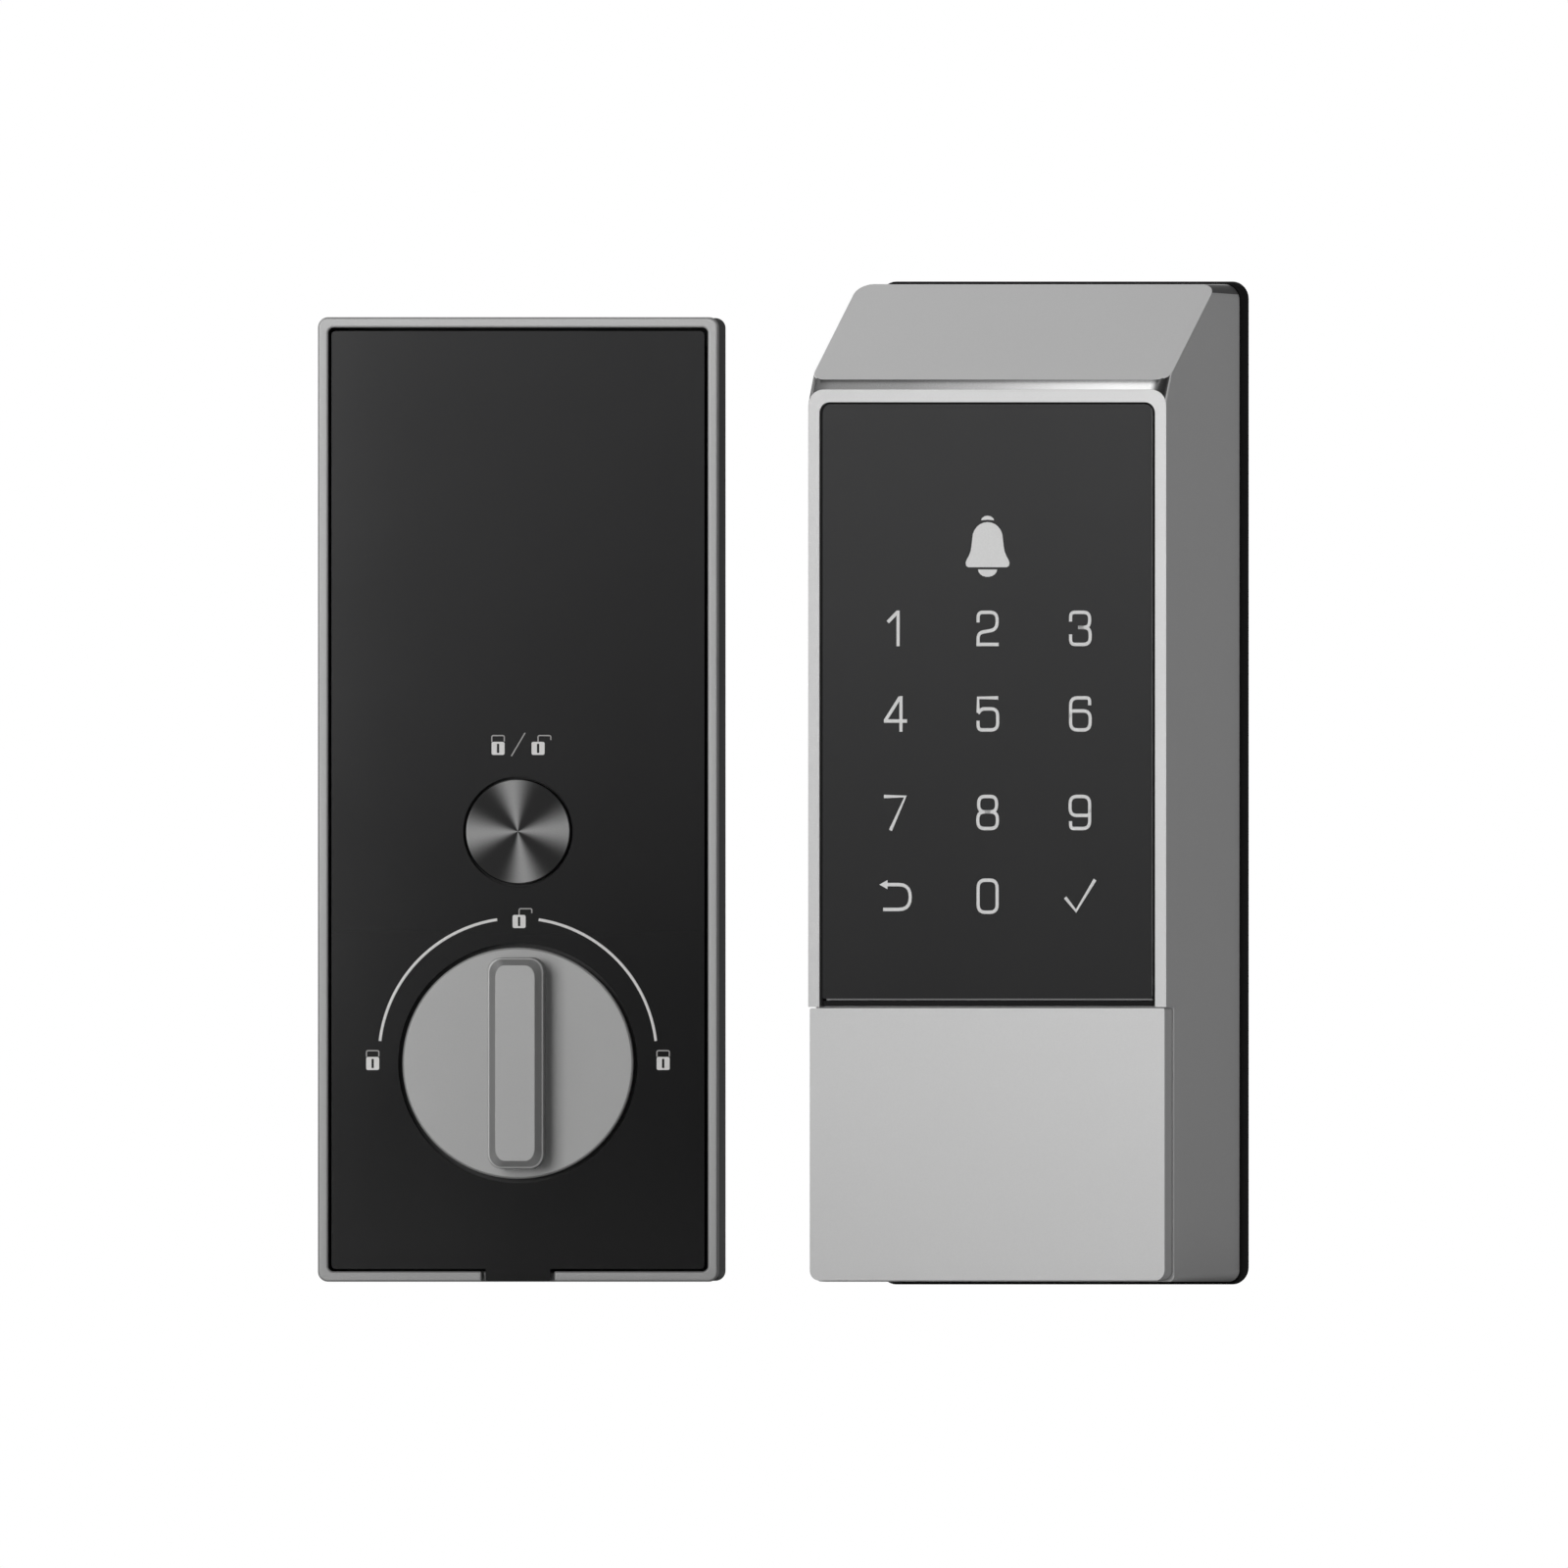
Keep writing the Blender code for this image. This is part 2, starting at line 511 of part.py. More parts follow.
def battery_bay(unit, finish):
    tray = piece("battery_tray", unit, finish["black_plastic"], extruded(centred(61.8, *BAY), -19.9, -5.2))
    low, high = BAY[0] + BAY_WALL, BAY[1] - BAY_WALL
    cut(tray, extruded(centred(59.4, low, high), -22.0, -6.6))
    for x in (-CELL_PITCH, 0.0, CELL_PITCH):
        ridge = [(x - 0.9, -6.2), (x + 0.9, -6.2), (x + 0.15, -9.6), (x - 0.15, -9.6)]
        add(tray, extruded(ridge, low + 4, high - 4, "Z"))
    for number in range(4):
        x = (number - 1.5) * CELL_PITCH
        # way points from a cell's flat end to its button end, and neighbours lie head to tail.
        way = 1 if number % 2 == 0 else -1
        tip = (high if way == 1 else low) - way * (2 * GAP + CONTACT)
        foot = tip - way * CELL_LENGTH
        body = CELL_LENGTH - CELL_TIP
        edge, tip_radius = CELL_RADIUS - 0.5, 2.75
        lengths = [(0, 0), (edge, 0), (CELL_RADIUS, 0.5), (CELL_RADIUS, body - 0.5), (edge, body)]
        lengths += [(tip_radius, body), (tip_radius, CELL_LENGTH), (0, CELL_LENGTH)]
        profile = [(radius, foot + way * length) for radius, length in lengths]
        at = (x, CELL_Y, foot)
        piece(f"battery_{number + 1}", unit, finish["cell"], turned(profile, x, CELL_Y, 16, "Z"), at=at)
    # The cells lie in series: a contact joins a button end to the next cell's spring, or ends the row.
    for name, first, last, spring, top in (
        ("battery_contact_minus", 0, 0, 0, False),
        ("battery_contact_upper_left", 0, 1, 1, True),
        ("battery_contact_lower", 1, 2, 2, False),
        ("battery_contact_upper_right", 2, 3, 3, True),
        ("battery_contact_plus", 3, 3, None, False),
    ):
        wall, way = (high - GAP, -1) if top else (low + GAP, 1)
        left, right = (first - 1.5) * CELL_PITCH - 5.5, (last - 1.5) * CELL_PITCH + 5.5
        leaf = extruded(rectangle(left, right, -19.0, -9.8), wall, wall + way * CONTACT, "Z")
        contact = piece(name, unit, finish["steel"], leaf)
        if spring is not None:
            free = (high - low) - 3 * GAP - CONTACT - CELL_LENGTH - 0.5
            ends = (wall + way * (CONTACT + 0.1), wall + way * free)
            add(contact, coil(0.35, (4.0, 2.2), ends, 2.5, (spring - 1.5) * CELL_PITCH, CELL_Y))


def chassis(unit, finish):
    outline = centred(62.6, -34.3, 57.6, 1.0)
    solid = extruded(outline, CHASSIS_FRONT, CHASSIS_BACK)
    plate = piece("chassis_plate", unit, finish["black_plastic"], solid)
    cut(plate, rod(HUB_RADIUS + 2.2, -23, -17), rod(7.8, -23, -17, 0, BUTTON_Z))
    cut_holes(plate, 1.4, -23, -17, CHASSIS_SCREWS, 8)
    screws("chassis_screw", unit, finish["steel"], CHASSIS_SCREWS, 2.3, 1.1, 9.0, -21.1, 0.8)
    bush = tube(HUB_RADIUS + GAP, HUB_RADIUS + 1.9, -20.9, -19.2)
    piece("knob_bush", unit, finish["white_plastic"], bush)


def thumb_turn(unit, finish):
    disc = [
        (0, -24.1),
        (KNOB_RADIUS - 0.3, -24.1),
        (KNOB_RADIUS, -23.8),
        (KNOB_RADIUS, -21.2),
        (HUB_RADIUS, -21.2),
        (HUB_RADIUS, -15.6),
        (0, -15.6),
    ]
    knob = piece("thumb_turn", unit, finish["satin_metal"], turned(disc, steps=KNOB_STEPS))
    base, top = [rectangle(-w / 2, w / 2, -t / 2, t / 2, r) for (w, t), r in ((GRIP, 2.1), (GRIP_TOP, 1.7))]
    add(knob, lofted([top, base, base], [GRIP_FRONT, -30.7, -23.0]))
    cut_holes(knob, 1.0, -19.6, -14.0, HUB_SCREWS, 8)
    teeth = gear_outline(OUTPUT_TEETH, IDLER_TURN)
    gear = piece("output_gear", unit, finish["white_plastic"], extruded(teeth, GEAR_FRONT, GEAR_BACK))
    cut(gear, rod(HUB_RADIUS + GAP, -20, -14, steps=24))
    hub = [(0, -15.1), (8.6, -15.1), (8.6, -13.5), (4.9, -13.5), (4.9, -1.4), (0, -1.4)]
    spindle = piece("spindle_hub", unit, finish["steel"], turned(hub, steps=24))
    cut(spindle, extruded(rectangle(-1.6, 1.6, -4.1, 4.1), -12.5, 0.0))
    cut_holes(spindle, 1.1, -16.0, -13.0, HUB_SCREWS, 8)


def gear_train(unit, finish):
    turn = math.radians(IDLER_TURN)
    reach = MODULE * (OUTPUT_TEETH + IDLER_TEETH) / 2
    idler_x, idler_z = reach * math.cos(turn), reach * math.sin(turn)
    # A gap of the idler faces the output gear's tooth on the line between their centres.
    idler_first = IDLER_TURN + 180 + 180 / IDLER_TEETH
    teeth = [(x + idler_x, z + idler_z) for x, z in gear_outline(IDLER_TEETH, idler_first)]
    at = (idler_x, 0, idler_z)
    solid = extruded(teeth, GEAR_FRONT, GEAR_BACK)
    idler = piece("idler_gear", unit, finish["white_plastic"], solid, at=at)
    cut(idler, rod(1.8, -20, -14, idler_x, idler_z, 16))
    axle = rod(1.5, -19.0, FLOOR_FRONT - GAP, idler_x, idler_z, 16)
    piece("idler_axle", unit, finish["steel"], axle)
    turn = math.radians(PINION_TURN)
    reach = MODULE * (IDLER_TEETH + PINION_TEETH) / 2
    pinion_x, pinion_z = idler_x + reach * math.cos(turn), idler_z + reach * math.sin(turn)
    lead = (PINION_TURN - idler_first) % (360 / IDLER_TEETH)  # how far the line lies past an idler tooth
    pinion_first = PINION_TURN + 180 + lead * IDLER_TEETH / PINION_TEETH + 180 / PINION_TEETH
    teeth = [(x + pinion_x, z + pinion_z) for x, z in gear_outline(PINION_TEETH, pinion_first)]
    at = (pinion_x, 0, pinion_z)
    pinion = piece("motor_pinion", unit, finish["brass"], extruded(teeth, GEAR_FRONT, GEAR_BACK), at=at)
    cut(pinion, rod(1.1, -17.6, -14, pinion_x, pinion_z, 12))
    shaft = [(0, -17.3), (0.8, -17.3), (0.8, -13.6), (3.0, -13.6)]
    motor = [*shaft, (3.0, -13.1), (8.2, -13.1), (8.2, -4.4), (0, -4.4)]
    piece("drive_motor", unit, finish["steel"], turned(motor, pinion_x, pinion_z, 24))
    outline = rectangle(-31.0, -10.0, 11.0, 47.0, 1.5)
    plate = piece("gearbox_plate", unit, finish["steel"], extruded(outline, -15.0, -14.0))
    cut(plate, rod(1.8, -16, -12, idler_x, idler_z, 16), rod(3.3, -16, -12, pinion_x, pinion_z, 16))
    cut_holes(plate, 1.4, -16, -12, GEARBOX_SCREWS, 8)


def control_board(unit, finish):
    outline = rectangle(-9.0, 30.5, 13.0, 48.5, 1.0)
    board = piece("main_circuit_board", unit, finish["board"], extruded(outline, -14.9, -13.3))
    cut_holes(board, 1.4, -16, -12, BOARD_SCREWS, 8)
    outline = rectangle(-3.0, 3.0, BUTTON_Z - 3, BUTTON_Z + 3)
    switch = piece("tact_switch", unit, finish["black_plastic"], extruded(outline, -17.9, -15.2))
    add(switch, rod(1.7, -18.7, -17.5, 0, BUTTON_Z, 16))
    can = [(0, -16.4), (1.0, -16.4), (1.0, -18.4), (5.6, -18.4), (6.0, -18.0), (6.0, -15.2), (0, -15.2)]
    piece("buzzer", unit, finish["black_plastic"], turned(can, 18, 38, 20))
    body = extruded(rectangle(8.0, 18.0, 20.5, 26.5), -13.0, -6.5)
    socket = piece("interior_cable_socket", unit, finish["white_plastic"], body)
    cut(socket, extruded(rectangle(9.2, 16.8, 21.7, 25.3), -11.0, -5.0))


def lock_button(unit, finish):
    profile = [
        (0, -24.0),
        (BUTTON_RADIUS - 0.35, -24.1),
        (BUTTON_RADIUS, -23.8),
        (BUTTON_RADIUS, -21.9),
        (7.4, -21.9),
        (7.4, -18.0),
        (6.4, -18.0),
        (6.4, -21.2),
        (1.5, -21.2),
        (1.5, -19.55),
        (0, -19.55),
    ]
    at = (0, 0, BUTTON_Z)
    piece("lock_button", unit, finish["dark_metal"], turned(profile, 0, BUTTON_Z), at=at)
    ring = tube(7.7, 9.0, -18.9, -18.1, 0, BUTTON_Z)
    piece("button_retainer", unit, finish["white_plastic"], ring, at=at)


def build():
    clear_scene()
    finish = {
        "silver_paint": material("Silver paint", (0.42, 0.42, 0.42), 0.38, 0.6),
        "satin_metal": material("Satin metal", (0.36, 0.36, 0.36), 0.35, 0.9),
        "dark_metal": material("Spun dark metal", (0.09, 0.09, 0.09), 0.3, 1.0),
        "black_glass": material("Black glass", (0.012, 0.012, 0.013), 0.15),
        "black_plastic": material("Black plastic", (0.02, 0.02, 0.02), 0.55),
        "white_plastic": material("White plastic", (0.75, 0.75, 0.72), 0.45),
        "rubber": material("Rubber", (0.01, 0.01, 0.01), 0.8),
        "board": material("Circuit board", (0.02, 0.12, 0.05), 0.5),
        "steel": material("Zinc-plated steel", (0.5, 0.5, 0.5), 0.35, 1.0),
        "brass": material("Brass", (0.6, 0.45, 0.2), 0.35, 1.0),
        "cell": material("Battery label", (0.05, 0.05, 0.06), 0.35),
    }
    keypad = empty("keypad_unit")
    for make in (keypad_stack, keypad_back, key_cylinder, key_cover):
        make(keypad, finish)
    keypad_housing(keypad, finish["silver_paint"])
    battery = empty("battery_unit", UNIT_PLACE, UNIT_TURN)
    for make in (mounting_plate, battery_housing, front_panel, battery_bay, chassis):
        make(battery, finish)
    for make in (thumb_turn, gear_train, control_board, lock_button):
        make(battery, finish)


build()
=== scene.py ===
"""Keypad smart lock: the finish of its pieces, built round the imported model. Sizes are in millimetres."""

import json
import math

import bpy
from mathutils import Matrix, Vector


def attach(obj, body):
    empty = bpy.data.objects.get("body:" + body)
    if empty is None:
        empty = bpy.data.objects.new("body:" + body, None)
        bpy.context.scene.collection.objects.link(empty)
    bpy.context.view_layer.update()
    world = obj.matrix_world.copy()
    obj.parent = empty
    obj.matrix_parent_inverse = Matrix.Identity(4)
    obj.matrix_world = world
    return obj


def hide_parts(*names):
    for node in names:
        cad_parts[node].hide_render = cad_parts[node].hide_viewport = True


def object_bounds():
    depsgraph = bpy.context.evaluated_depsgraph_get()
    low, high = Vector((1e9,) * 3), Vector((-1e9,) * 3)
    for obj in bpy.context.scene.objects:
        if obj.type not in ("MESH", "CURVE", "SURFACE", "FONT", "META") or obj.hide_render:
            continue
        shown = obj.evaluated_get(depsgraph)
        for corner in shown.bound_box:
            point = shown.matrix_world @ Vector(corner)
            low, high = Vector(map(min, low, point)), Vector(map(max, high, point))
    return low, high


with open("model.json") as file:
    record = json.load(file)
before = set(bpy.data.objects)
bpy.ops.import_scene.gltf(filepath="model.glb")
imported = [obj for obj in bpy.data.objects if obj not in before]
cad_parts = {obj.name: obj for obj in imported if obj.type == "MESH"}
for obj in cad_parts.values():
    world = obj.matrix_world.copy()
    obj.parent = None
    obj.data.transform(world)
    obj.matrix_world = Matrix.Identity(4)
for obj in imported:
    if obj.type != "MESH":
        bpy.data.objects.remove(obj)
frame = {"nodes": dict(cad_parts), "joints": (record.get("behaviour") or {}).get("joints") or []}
cad_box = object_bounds()
bpy.ops.object.select_all(action="DESELECT")
MM = 0.001

# The studio: a pale floor under the object, a white surround, and five soft lights. The strongest is low and
# faces the keypad unit, so its front is brighter than its slanted top, and its right side falls off.
VIEW_TURN = math.radians(24)  # the camera stands to the right of the keypad unit's front, level with it
VIEW_CENTRE = (-47.785, 47.0)  # across the picture, and height
VIEW_WIDTH = 264.0
across = Vector((math.cos(VIEW_TURN), math.sin(VIEW_TURN), 0))
towards = Vector((math.sin(VIEW_TURN), -math.cos(VIEW_TURN), 0))
aim = (across * VIEW_CENTRE[0] + Vector((0, 0, VIEW_CENTRE[1]))) * MM

bpy.ops.object.camera_add(location=aim + towards * 0.9)
camera = bpy.context.object
camera.rotation_mode = "QUATERNION"
camera.rotation_quaternion = (-towards).to_track_quat("-Z", "Y")
camera.data.type = "ORTHO"
camera.data.ortho_scale = VIEW_WIDTH * MM
bpy.context.scene.camera = camera
bpy.context.scene.view_settings.view_transform = "Standard"

world = bpy.data.worlds.new("Surround")
bpy.context.scene.world = world
world.use_nodes = True
tree = world.node_tree
surround = tree.nodes["Background"]
surround.inputs["Color"].default_value = (0.13, 0.13, 0.132, 1)
white = tree.nodes.new("ShaderNodeBackground")
white.inputs["Color"].default_value = (1, 1, 1, 1)
seen = tree.nodes.new("ShaderNodeLightPath")
pick = tree.nodes.new("ShaderNodeMixShader")
tree.links.new(seen.outputs["Is Camera Ray"], pick.inputs[0])
tree.links.new(surround.outputs[0], pick.inputs[1])
tree.links.new(white.outputs[0], pick.inputs[2])
tree.links.new(pick.outputs[0], tree.nodes["World Output"].inputs["Surface"])


def light(name, turn, height, distance, size, power):
    """A soft square light, at an angle round the object from the front, aimed at the middle of it."""
    turn, height = math.radians(turn), math.radians(height)
    way = Vector((math.sin(turn) * math.cos(height), -math.cos(turn) * math.cos(height), math.sin(height)))
    bpy.ops.object.light_add(type="AREA", location=aim + way * distance)
    lamp = bpy.context.object
    lamp.name = name
    lamp.rotation_euler = (-way).to_track_quat("-Z", "Y").to_euler()
    lamp.data.size = size
    lamp.data.energy = power


light("key_light", 0, 4, 1.1, 0.42, 5.8)
light("side_light", 82, 25, 1.2, 0.8, 1.4)
light("band_light", -41, 52, 1.0, 0.8, 1.8)
light("rear_light", -105, 30, 1.2, 0.9, 5.0)
light("floor_light", 204, 50, 1.3, 0.9, 1.0)

bpy.ops.mesh.primitive_plane_add(size=3, location=(0, 0, cad_box[0].z - 0.0005))
floor = bpy.context.object
floor.name = "floor"
floor_paint = bpy.data.materials.new("Pale floor")
floor_paint.use_nodes = True
floor_paint.node_tree.nodes["Principled BSDF"].inputs["Base Color"].default_value = (0.8, 0.8, 0.8, 1)
floor_paint.node_tree.nodes["Principled BSDF"].inputs["Roughness"].default_value = 0.6
floor.data.materials.append(floor_paint)


# The keypad unit's housing is a zinc casting with fine satin silver paint, and a narrow bright band between
# its front edge and its slanted top. The light and dark along that band is a painted reflection, the dark
# rear top corners are painted shade, and so is the paint's darkening downwards; none answers to the lights.
HOUSING_HALF = 33.0
HOUSING_BOTTOM, HOUSING_TOP = -36.8, 131.15
HOUSING_FRONT, HOUSING_BACK = -33.4, -3.0
BEZEL_TOP = 113.35
SLOPE_LOW, SLOPE_HIGH = (-32.4, 115.1), (-12.6, HOUSING_TOP)
CORNER = 2.8
COVER_TOP = 9.45
LEDGE_FRONT, LEDGE_BACK = -31.5, -29.9
DECK_FRONT, DECK_BACK = -30.1, -28.1
WALL = 2.0
SLIDE_X, SLIDE_REACH = 25.0, 2.2


def shade_by(skin, share):
    """Paints light or shade into a finish: its colour is multiplied by the value of a socket."""
    tree = skin.node_tree
    tone = next(node for node in tree.nodes if node.type == "VALTORGB")
    blend = tree.nodes.new("ShaderNodeMix")
    blend.data_type, blend.blend_type = "RGBA", "MULTIPLY"
    blend.inputs["Factor"].default_value = 1.0
    tree.links.new(tone.outputs["Color"], blend.inputs[6])
    tree.links.new(share, blend.inputs[7])
    tree.links.new(blend.outputs[2], tree.nodes["Principled BSDF"].inputs["Base Color"])


def surface(
    slot, colour, rough, metal=0.0, grain=0.25, mottle=0.05, relief=0.01, gloss=0.5, coat=0.0, fade=None
):
    """A finish with fine grain. Grain is its size and relief its depth, in millimetres, and mottle is how far
    the tone varies. A fade is painted light and shade: an axis, and the (place, share of the colour) pairs."""
    skin = bpy.data.materials.new(slot.replace("_", " ").capitalize())
    skin.use_nodes = True
    skin["slot"] = slot
    tree = skin.node_tree
    shader = tree.nodes["Principled BSDF"]
    shader.inputs["Metallic"].default_value = metal
    shader.inputs["Specular IOR Level"].default_value = gloss
    shader.inputs["Coat Weight"].default_value = coat
    shader.inputs["Coat Roughness"].default_value = 0.05
    place = tree.nodes.new("ShaderNodeTexCoord")
    fine, broad = tree.nodes.new("ShaderNodeTexNoise"), tree.nodes.new("ShaderNodeTexNoise")
    fine.inputs["Scale"].default_value = 1 / (grain * MM)
    fine.inputs["Detail"].default_value = 3
    broad.inputs["Scale"].default_value = 35
    tone = tree.nodes.new("ShaderNodeValToRGB")
    tone.color_ramp.elements[0].position, tone.color_ramp.elements[1].position = 0.3, 0.7
    tone.color_ramp.elements[0].color = (*[c * (1 - mottle) for c in colour], 1)
    tone.color_ramp.elements[1].color = (*[c * (1 + mottle) for c in colour], 1)
    wear = tree.nodes.new("ShaderNodeMapRange")
    wear.inputs["To Min"].default_value, wear.inputs["To Max"].default_value = rough * 0.9, rough * 1.1
    bump = tree.nodes.new("ShaderNodeBump")
    bump.inputs["Strength"].default_value = 0.6
    bump.inputs["Distance"].default_value = relief * MM
    for start, end in (
        (place.outputs["Object"], fine.inputs["Vector"]),
        (place.outputs["Object"], broad.inputs["Vector"]),
        (fine.outputs["Fac"], tone.inputs["Fac"]),
        (tone.outputs["Color"], shader.inputs["Base Color"]),
        (broad.outputs["Fac"], wear.inputs["Value"]),
        (wear.outputs["Result"], shader.inputs["Roughness"]),
        (fine.outputs["Fac"], bump.inputs["Height"]),
        (bump.outputs["Normal"], shader.inputs["Normal"]),
    ):
        tree.links.new(start, end)
    if fade:
        axis, stops = fade
        parts, along = tree.nodes.new("ShaderNodeSeparateXYZ"), tree.nodes.new("ShaderNodeMapRange")
        along.inputs["From Min"].default_value = stops[0][0] * MM
        along.inputs["From Max"].default_value = stops[-1][0] * MM
        shade = tree.nodes.new("ShaderNodeValToRGB")
        ramp = shade.color_ramp.elements
        span = stops[-1][0] - stops[0][0]
        for number, (spot, share) in enumerate(stops):
            place_on_ramp = (spot - stops[0][0]) / span
            if number == 0:
                stop = ramp[0]
            elif number == len(stops) - 1:
                stop = ramp[-1]
            else:
                stop = ramp.new(place_on_ramp)
            stop.position = place_on_ramp
            stop.color = (share, share, share, 1)
        tree.links.new(place.outputs["Object"], parts.inputs[0])
        tree.links.new(parts.outputs[axis], along.inputs["Value"])
        tree.links.new(along.outputs["Result"], shade.inputs["Fac"])
        shade_by(skin, shade.outputs["Color"])
    return skin


def activate(piece):
    bpy.ops.object.select_all(action="DESELECT")
    piece.select_set(True)
    bpy.context.view_layer.objects.active = piece


def prism(name, outline, start, end, axis="Y"):
    """Pulls a flat outline from start to end along an axis. The outline is in the other axes, in order."""
    order = {
        "X": lambda a, b, c: (c, a, b),
        "Y": lambda a, b, c: (a, c, b),
        "Z": lambda a, b, c: (a, b, c),
    }[axis]
    mesh = bpy.data.meshes.new(name)
    mesh.from_pydata([Vector(order(a, b, start)) * MM for a, b in outline], [], [range(len(outline))])
    piece = bpy.data.objects.new(name, mesh)
    bpy.context.scene.collection.objects.link(piece)
    activate(piece)
    bpy.ops.object.mode_set(mode="EDIT")
    bpy.ops.mesh.select_all(action="SELECT")
    way = Vector(order(0, 0, end - start)) * MM
    bpy.ops.mesh.extrude_region_move(TRANSFORM_OT_translate={"value": way})
    bpy.ops.mesh.select_all(action="SELECT")
    bpy.ops.mesh.normals_make_consistent(inside=False)
    bpy.ops.object.mode_set(mode="OBJECT")
    return piece


def rounded(left, right, bottom, top, low=0.0, high=None, steps=8):
    """A rectangle with one radius at its two lower corners and another at its upper ones."""
    high = low if high is None else high
    outline = []
    for x, z, radius, first in (
        (right - low, bottom + low, low, -90),
        (right - high, top - high, high, 0),
        (left + high, top - high, high, 90),
        (left + low, bottom + low, low, 180),
    ):
        for i in range(steps + 1 if radius else 1):
            turn = math.radians(first + 90 * i / steps)
            outline.append((x + radius * math.cos(turn), z + radius * math.sin(turn)))
    return outline


def combine(piece, operation, tools):
    for tool in tools:
        activate(piece)
        step = piece.modifiers.new("Cut", "BOOLEAN")
        step.operation = operation
        step.object = tool
        bpy.ops.object.modifier_apply(modifier=step.name)
        bpy.data.objects.remove(tool)
    return piece


def cut(piece, *tools):
    return combine(piece, "DIFFERENCE", tools)


def join(piece, *tools):
    return combine(piece, "UNION", tools)


def turned(name, profile, x=0.0, z=0.0, steps=64, axis="Y"):
    """A turned piece, from its (radius, depth) pairs. It starts as a disc, which is drawn out. On axis Z the
    argument z is the place along Y."""
    radius, depth = profile[0]
    centre = Vector((x, depth, z) if axis == "Y" else (x, z, depth)) * MM
    tilt = (math.pi / 2, 0, 0) if axis == "Y" else (0, 0, 0)
    bpy.ops.object.select_all(action="DESELECT")
    bpy.ops.mesh.primitive_circle_add(
        vertices=steps, radius=radius * MM, fill_type="NGON", location=centre, rotation=tilt
    )
    piece = bpy.context.object
    piece.name = name
    bpy.ops.object.transform_apply(location=True, rotation=True, scale=True)
    bpy.ops.object.mode_set(mode="EDIT")
    bpy.ops.mesh.select_all(action="SELECT")
    for (radius, depth), (next_radius, next_depth) in zip(profile, profile[1:]):
        step = (next_depth - depth) * MM
        way = (0, step, 0) if axis == "Y" else (0, 0, step)
        bpy.ops.mesh.extrude_region_move(TRANSFORM_OT_translate={"value": way})
        grow = next_radius / radius
        if grow != 1:
            bpy.ops.transform.resize(value=(grow, grow, grow), center_override=centre + Vector(way))
        centre += Vector(way)
    bpy.ops.mesh.select_all(action="SELECT")
    bpy.ops.mesh.normals_make_consistent(inside=False)
    bpy.ops.object.mode_set(mode="OBJECT")
    return piece


def soften(piece, width=0.2, segments=2, angle=30):
    """Breaks the edges, and shades the flats flat and the rounds round."""
    activate(piece)
    if piece.data.has_custom_normals:
        bpy.ops.mesh.customdata_custom_splitnormals_clear()
    if width:
        step = piece.modifiers.new("Edges", "BEVEL")
        step.width = width * MM
        step.segments = segments
        step.limit_method = "ANGLE"
        step.angle_limit = math.radians(angle)
        step.use_clamp_overlap = True
        bpy.ops.object.modifier_apply(modifier=step.name)
    bpy.ops.object.shade_smooth_by_angle(angle=math.radians(50))
    step = piece.modifiers.new("Normals", "WEIGHTED_NORMAL")
    step.keep_sharp = True
    bpy.ops.object.modifier_apply(modifier=step.name)
    return piece


def fit(piece, body, skin, *stands_for, place=None):
    """Moves a finished piece from its unit's frame into place, and gives it its finish and its body."""
    if place is not None:
        piece.data.transform(place)
    piece.data.materials.clear()
    piece.data.materials.append(skin)
    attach(piece, body)
    if stands_for:
        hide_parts(*stands_for)
    return piece


SATIN = {"rough": 0.42, "metal": 0.3, "grain": 0.18, "mottle": 0.02, "relief": 0.004}
# Painted shade: the housing's silver paint is drawn darker towards the bottom.
silver_painted_shade = (2, [(HOUSING_BOTTOM, 0.80), (HOUSING_TOP, 1.02)])
silver_paint = surface("silver_paint", (0.665, 0.665, 0.663), **SATIN, fade=silver_painted_shade)
# Painted reflection: the band's sweep of light and dark along its length, as shares of its colour.
band_reflection_shares = [(-33.0, 0.08), (-31.0, 0.14), (-29.0, 0.24), (-15.0, 0.31), (0.0, 0.51)]
band_reflection_shares += [(14.0, 0.82), (24.0, 1.0), (30.0, 1.0), (31.0, 0.14), (33.0, 0.10)]
band_reflection_fade = (0, band_reflection_shares)
band_painted_reflection = surface(
    "silver_paint", (1.0, 1.0, 1.0), 0.25, metal=0.9, grain=0.3, mottle=0.02, relief=0.001, fade=band_reflection_fade
)
# Painted shade: a dark copy of the silver paint, for the rear top corners.
corner_painted_shade = surface("silver_paint", (0.15, 0.15, 0.15), **SATIN)

slope_length = math.dist(SLOPE_LOW, SLOPE_HIGH)
slope_way = Vector((0, SLOPE_HIGH[0] - SLOPE_LOW[0], SLOPE_HIGH[1] - SLOPE_LOW[1])) / slope_length
half = HOUSING_HALF
shell_points = [
    Vector((x, HOUSING_FRONT, z)) for x, z in rounded(-half, half, HOUSING_BOTTOM, BEZEL_TOP, 0.8, CORNER)
]
shell_points += [
    Vector((x, *SLOPE_LOW)) + slope_way * along
    for x, along in rounded(-half, half, 0, slope_length, 2.3, CORNER)
]
shell_points += [
    Vector((x, HOUSING_BACK, z)) for x, z in rounded(-half, half, HOUSING_BOTTOM, HOUSING_TOP, 2.0, CORNER)
]
mesh = bpy.data.meshes.new("keypad_housing")
mesh.from_pydata([point * MM for point in shell_points], [], [])
housing = bpy.data.objects.new("keypad_housing", mesh)
bpy.context.scene.collection.objects.link(housing)
activate(housing)
bpy.ops.object.mode_set(mode="EDIT")
bpy.ops.mesh.select_all(action="SELECT")
bpy.ops.mesh.convex_hull()
bpy.ops.mesh.dissolve_limited(angle_limit=math.radians(0.5))
bpy.ops.mesh.select_all(action="SELECT")
bpy.ops.mesh.normals_make_consistent(inside=False)
bpy.ops.object.mode_set(mode="OBJECT")
soften(housing, 0.22, 3, 25)

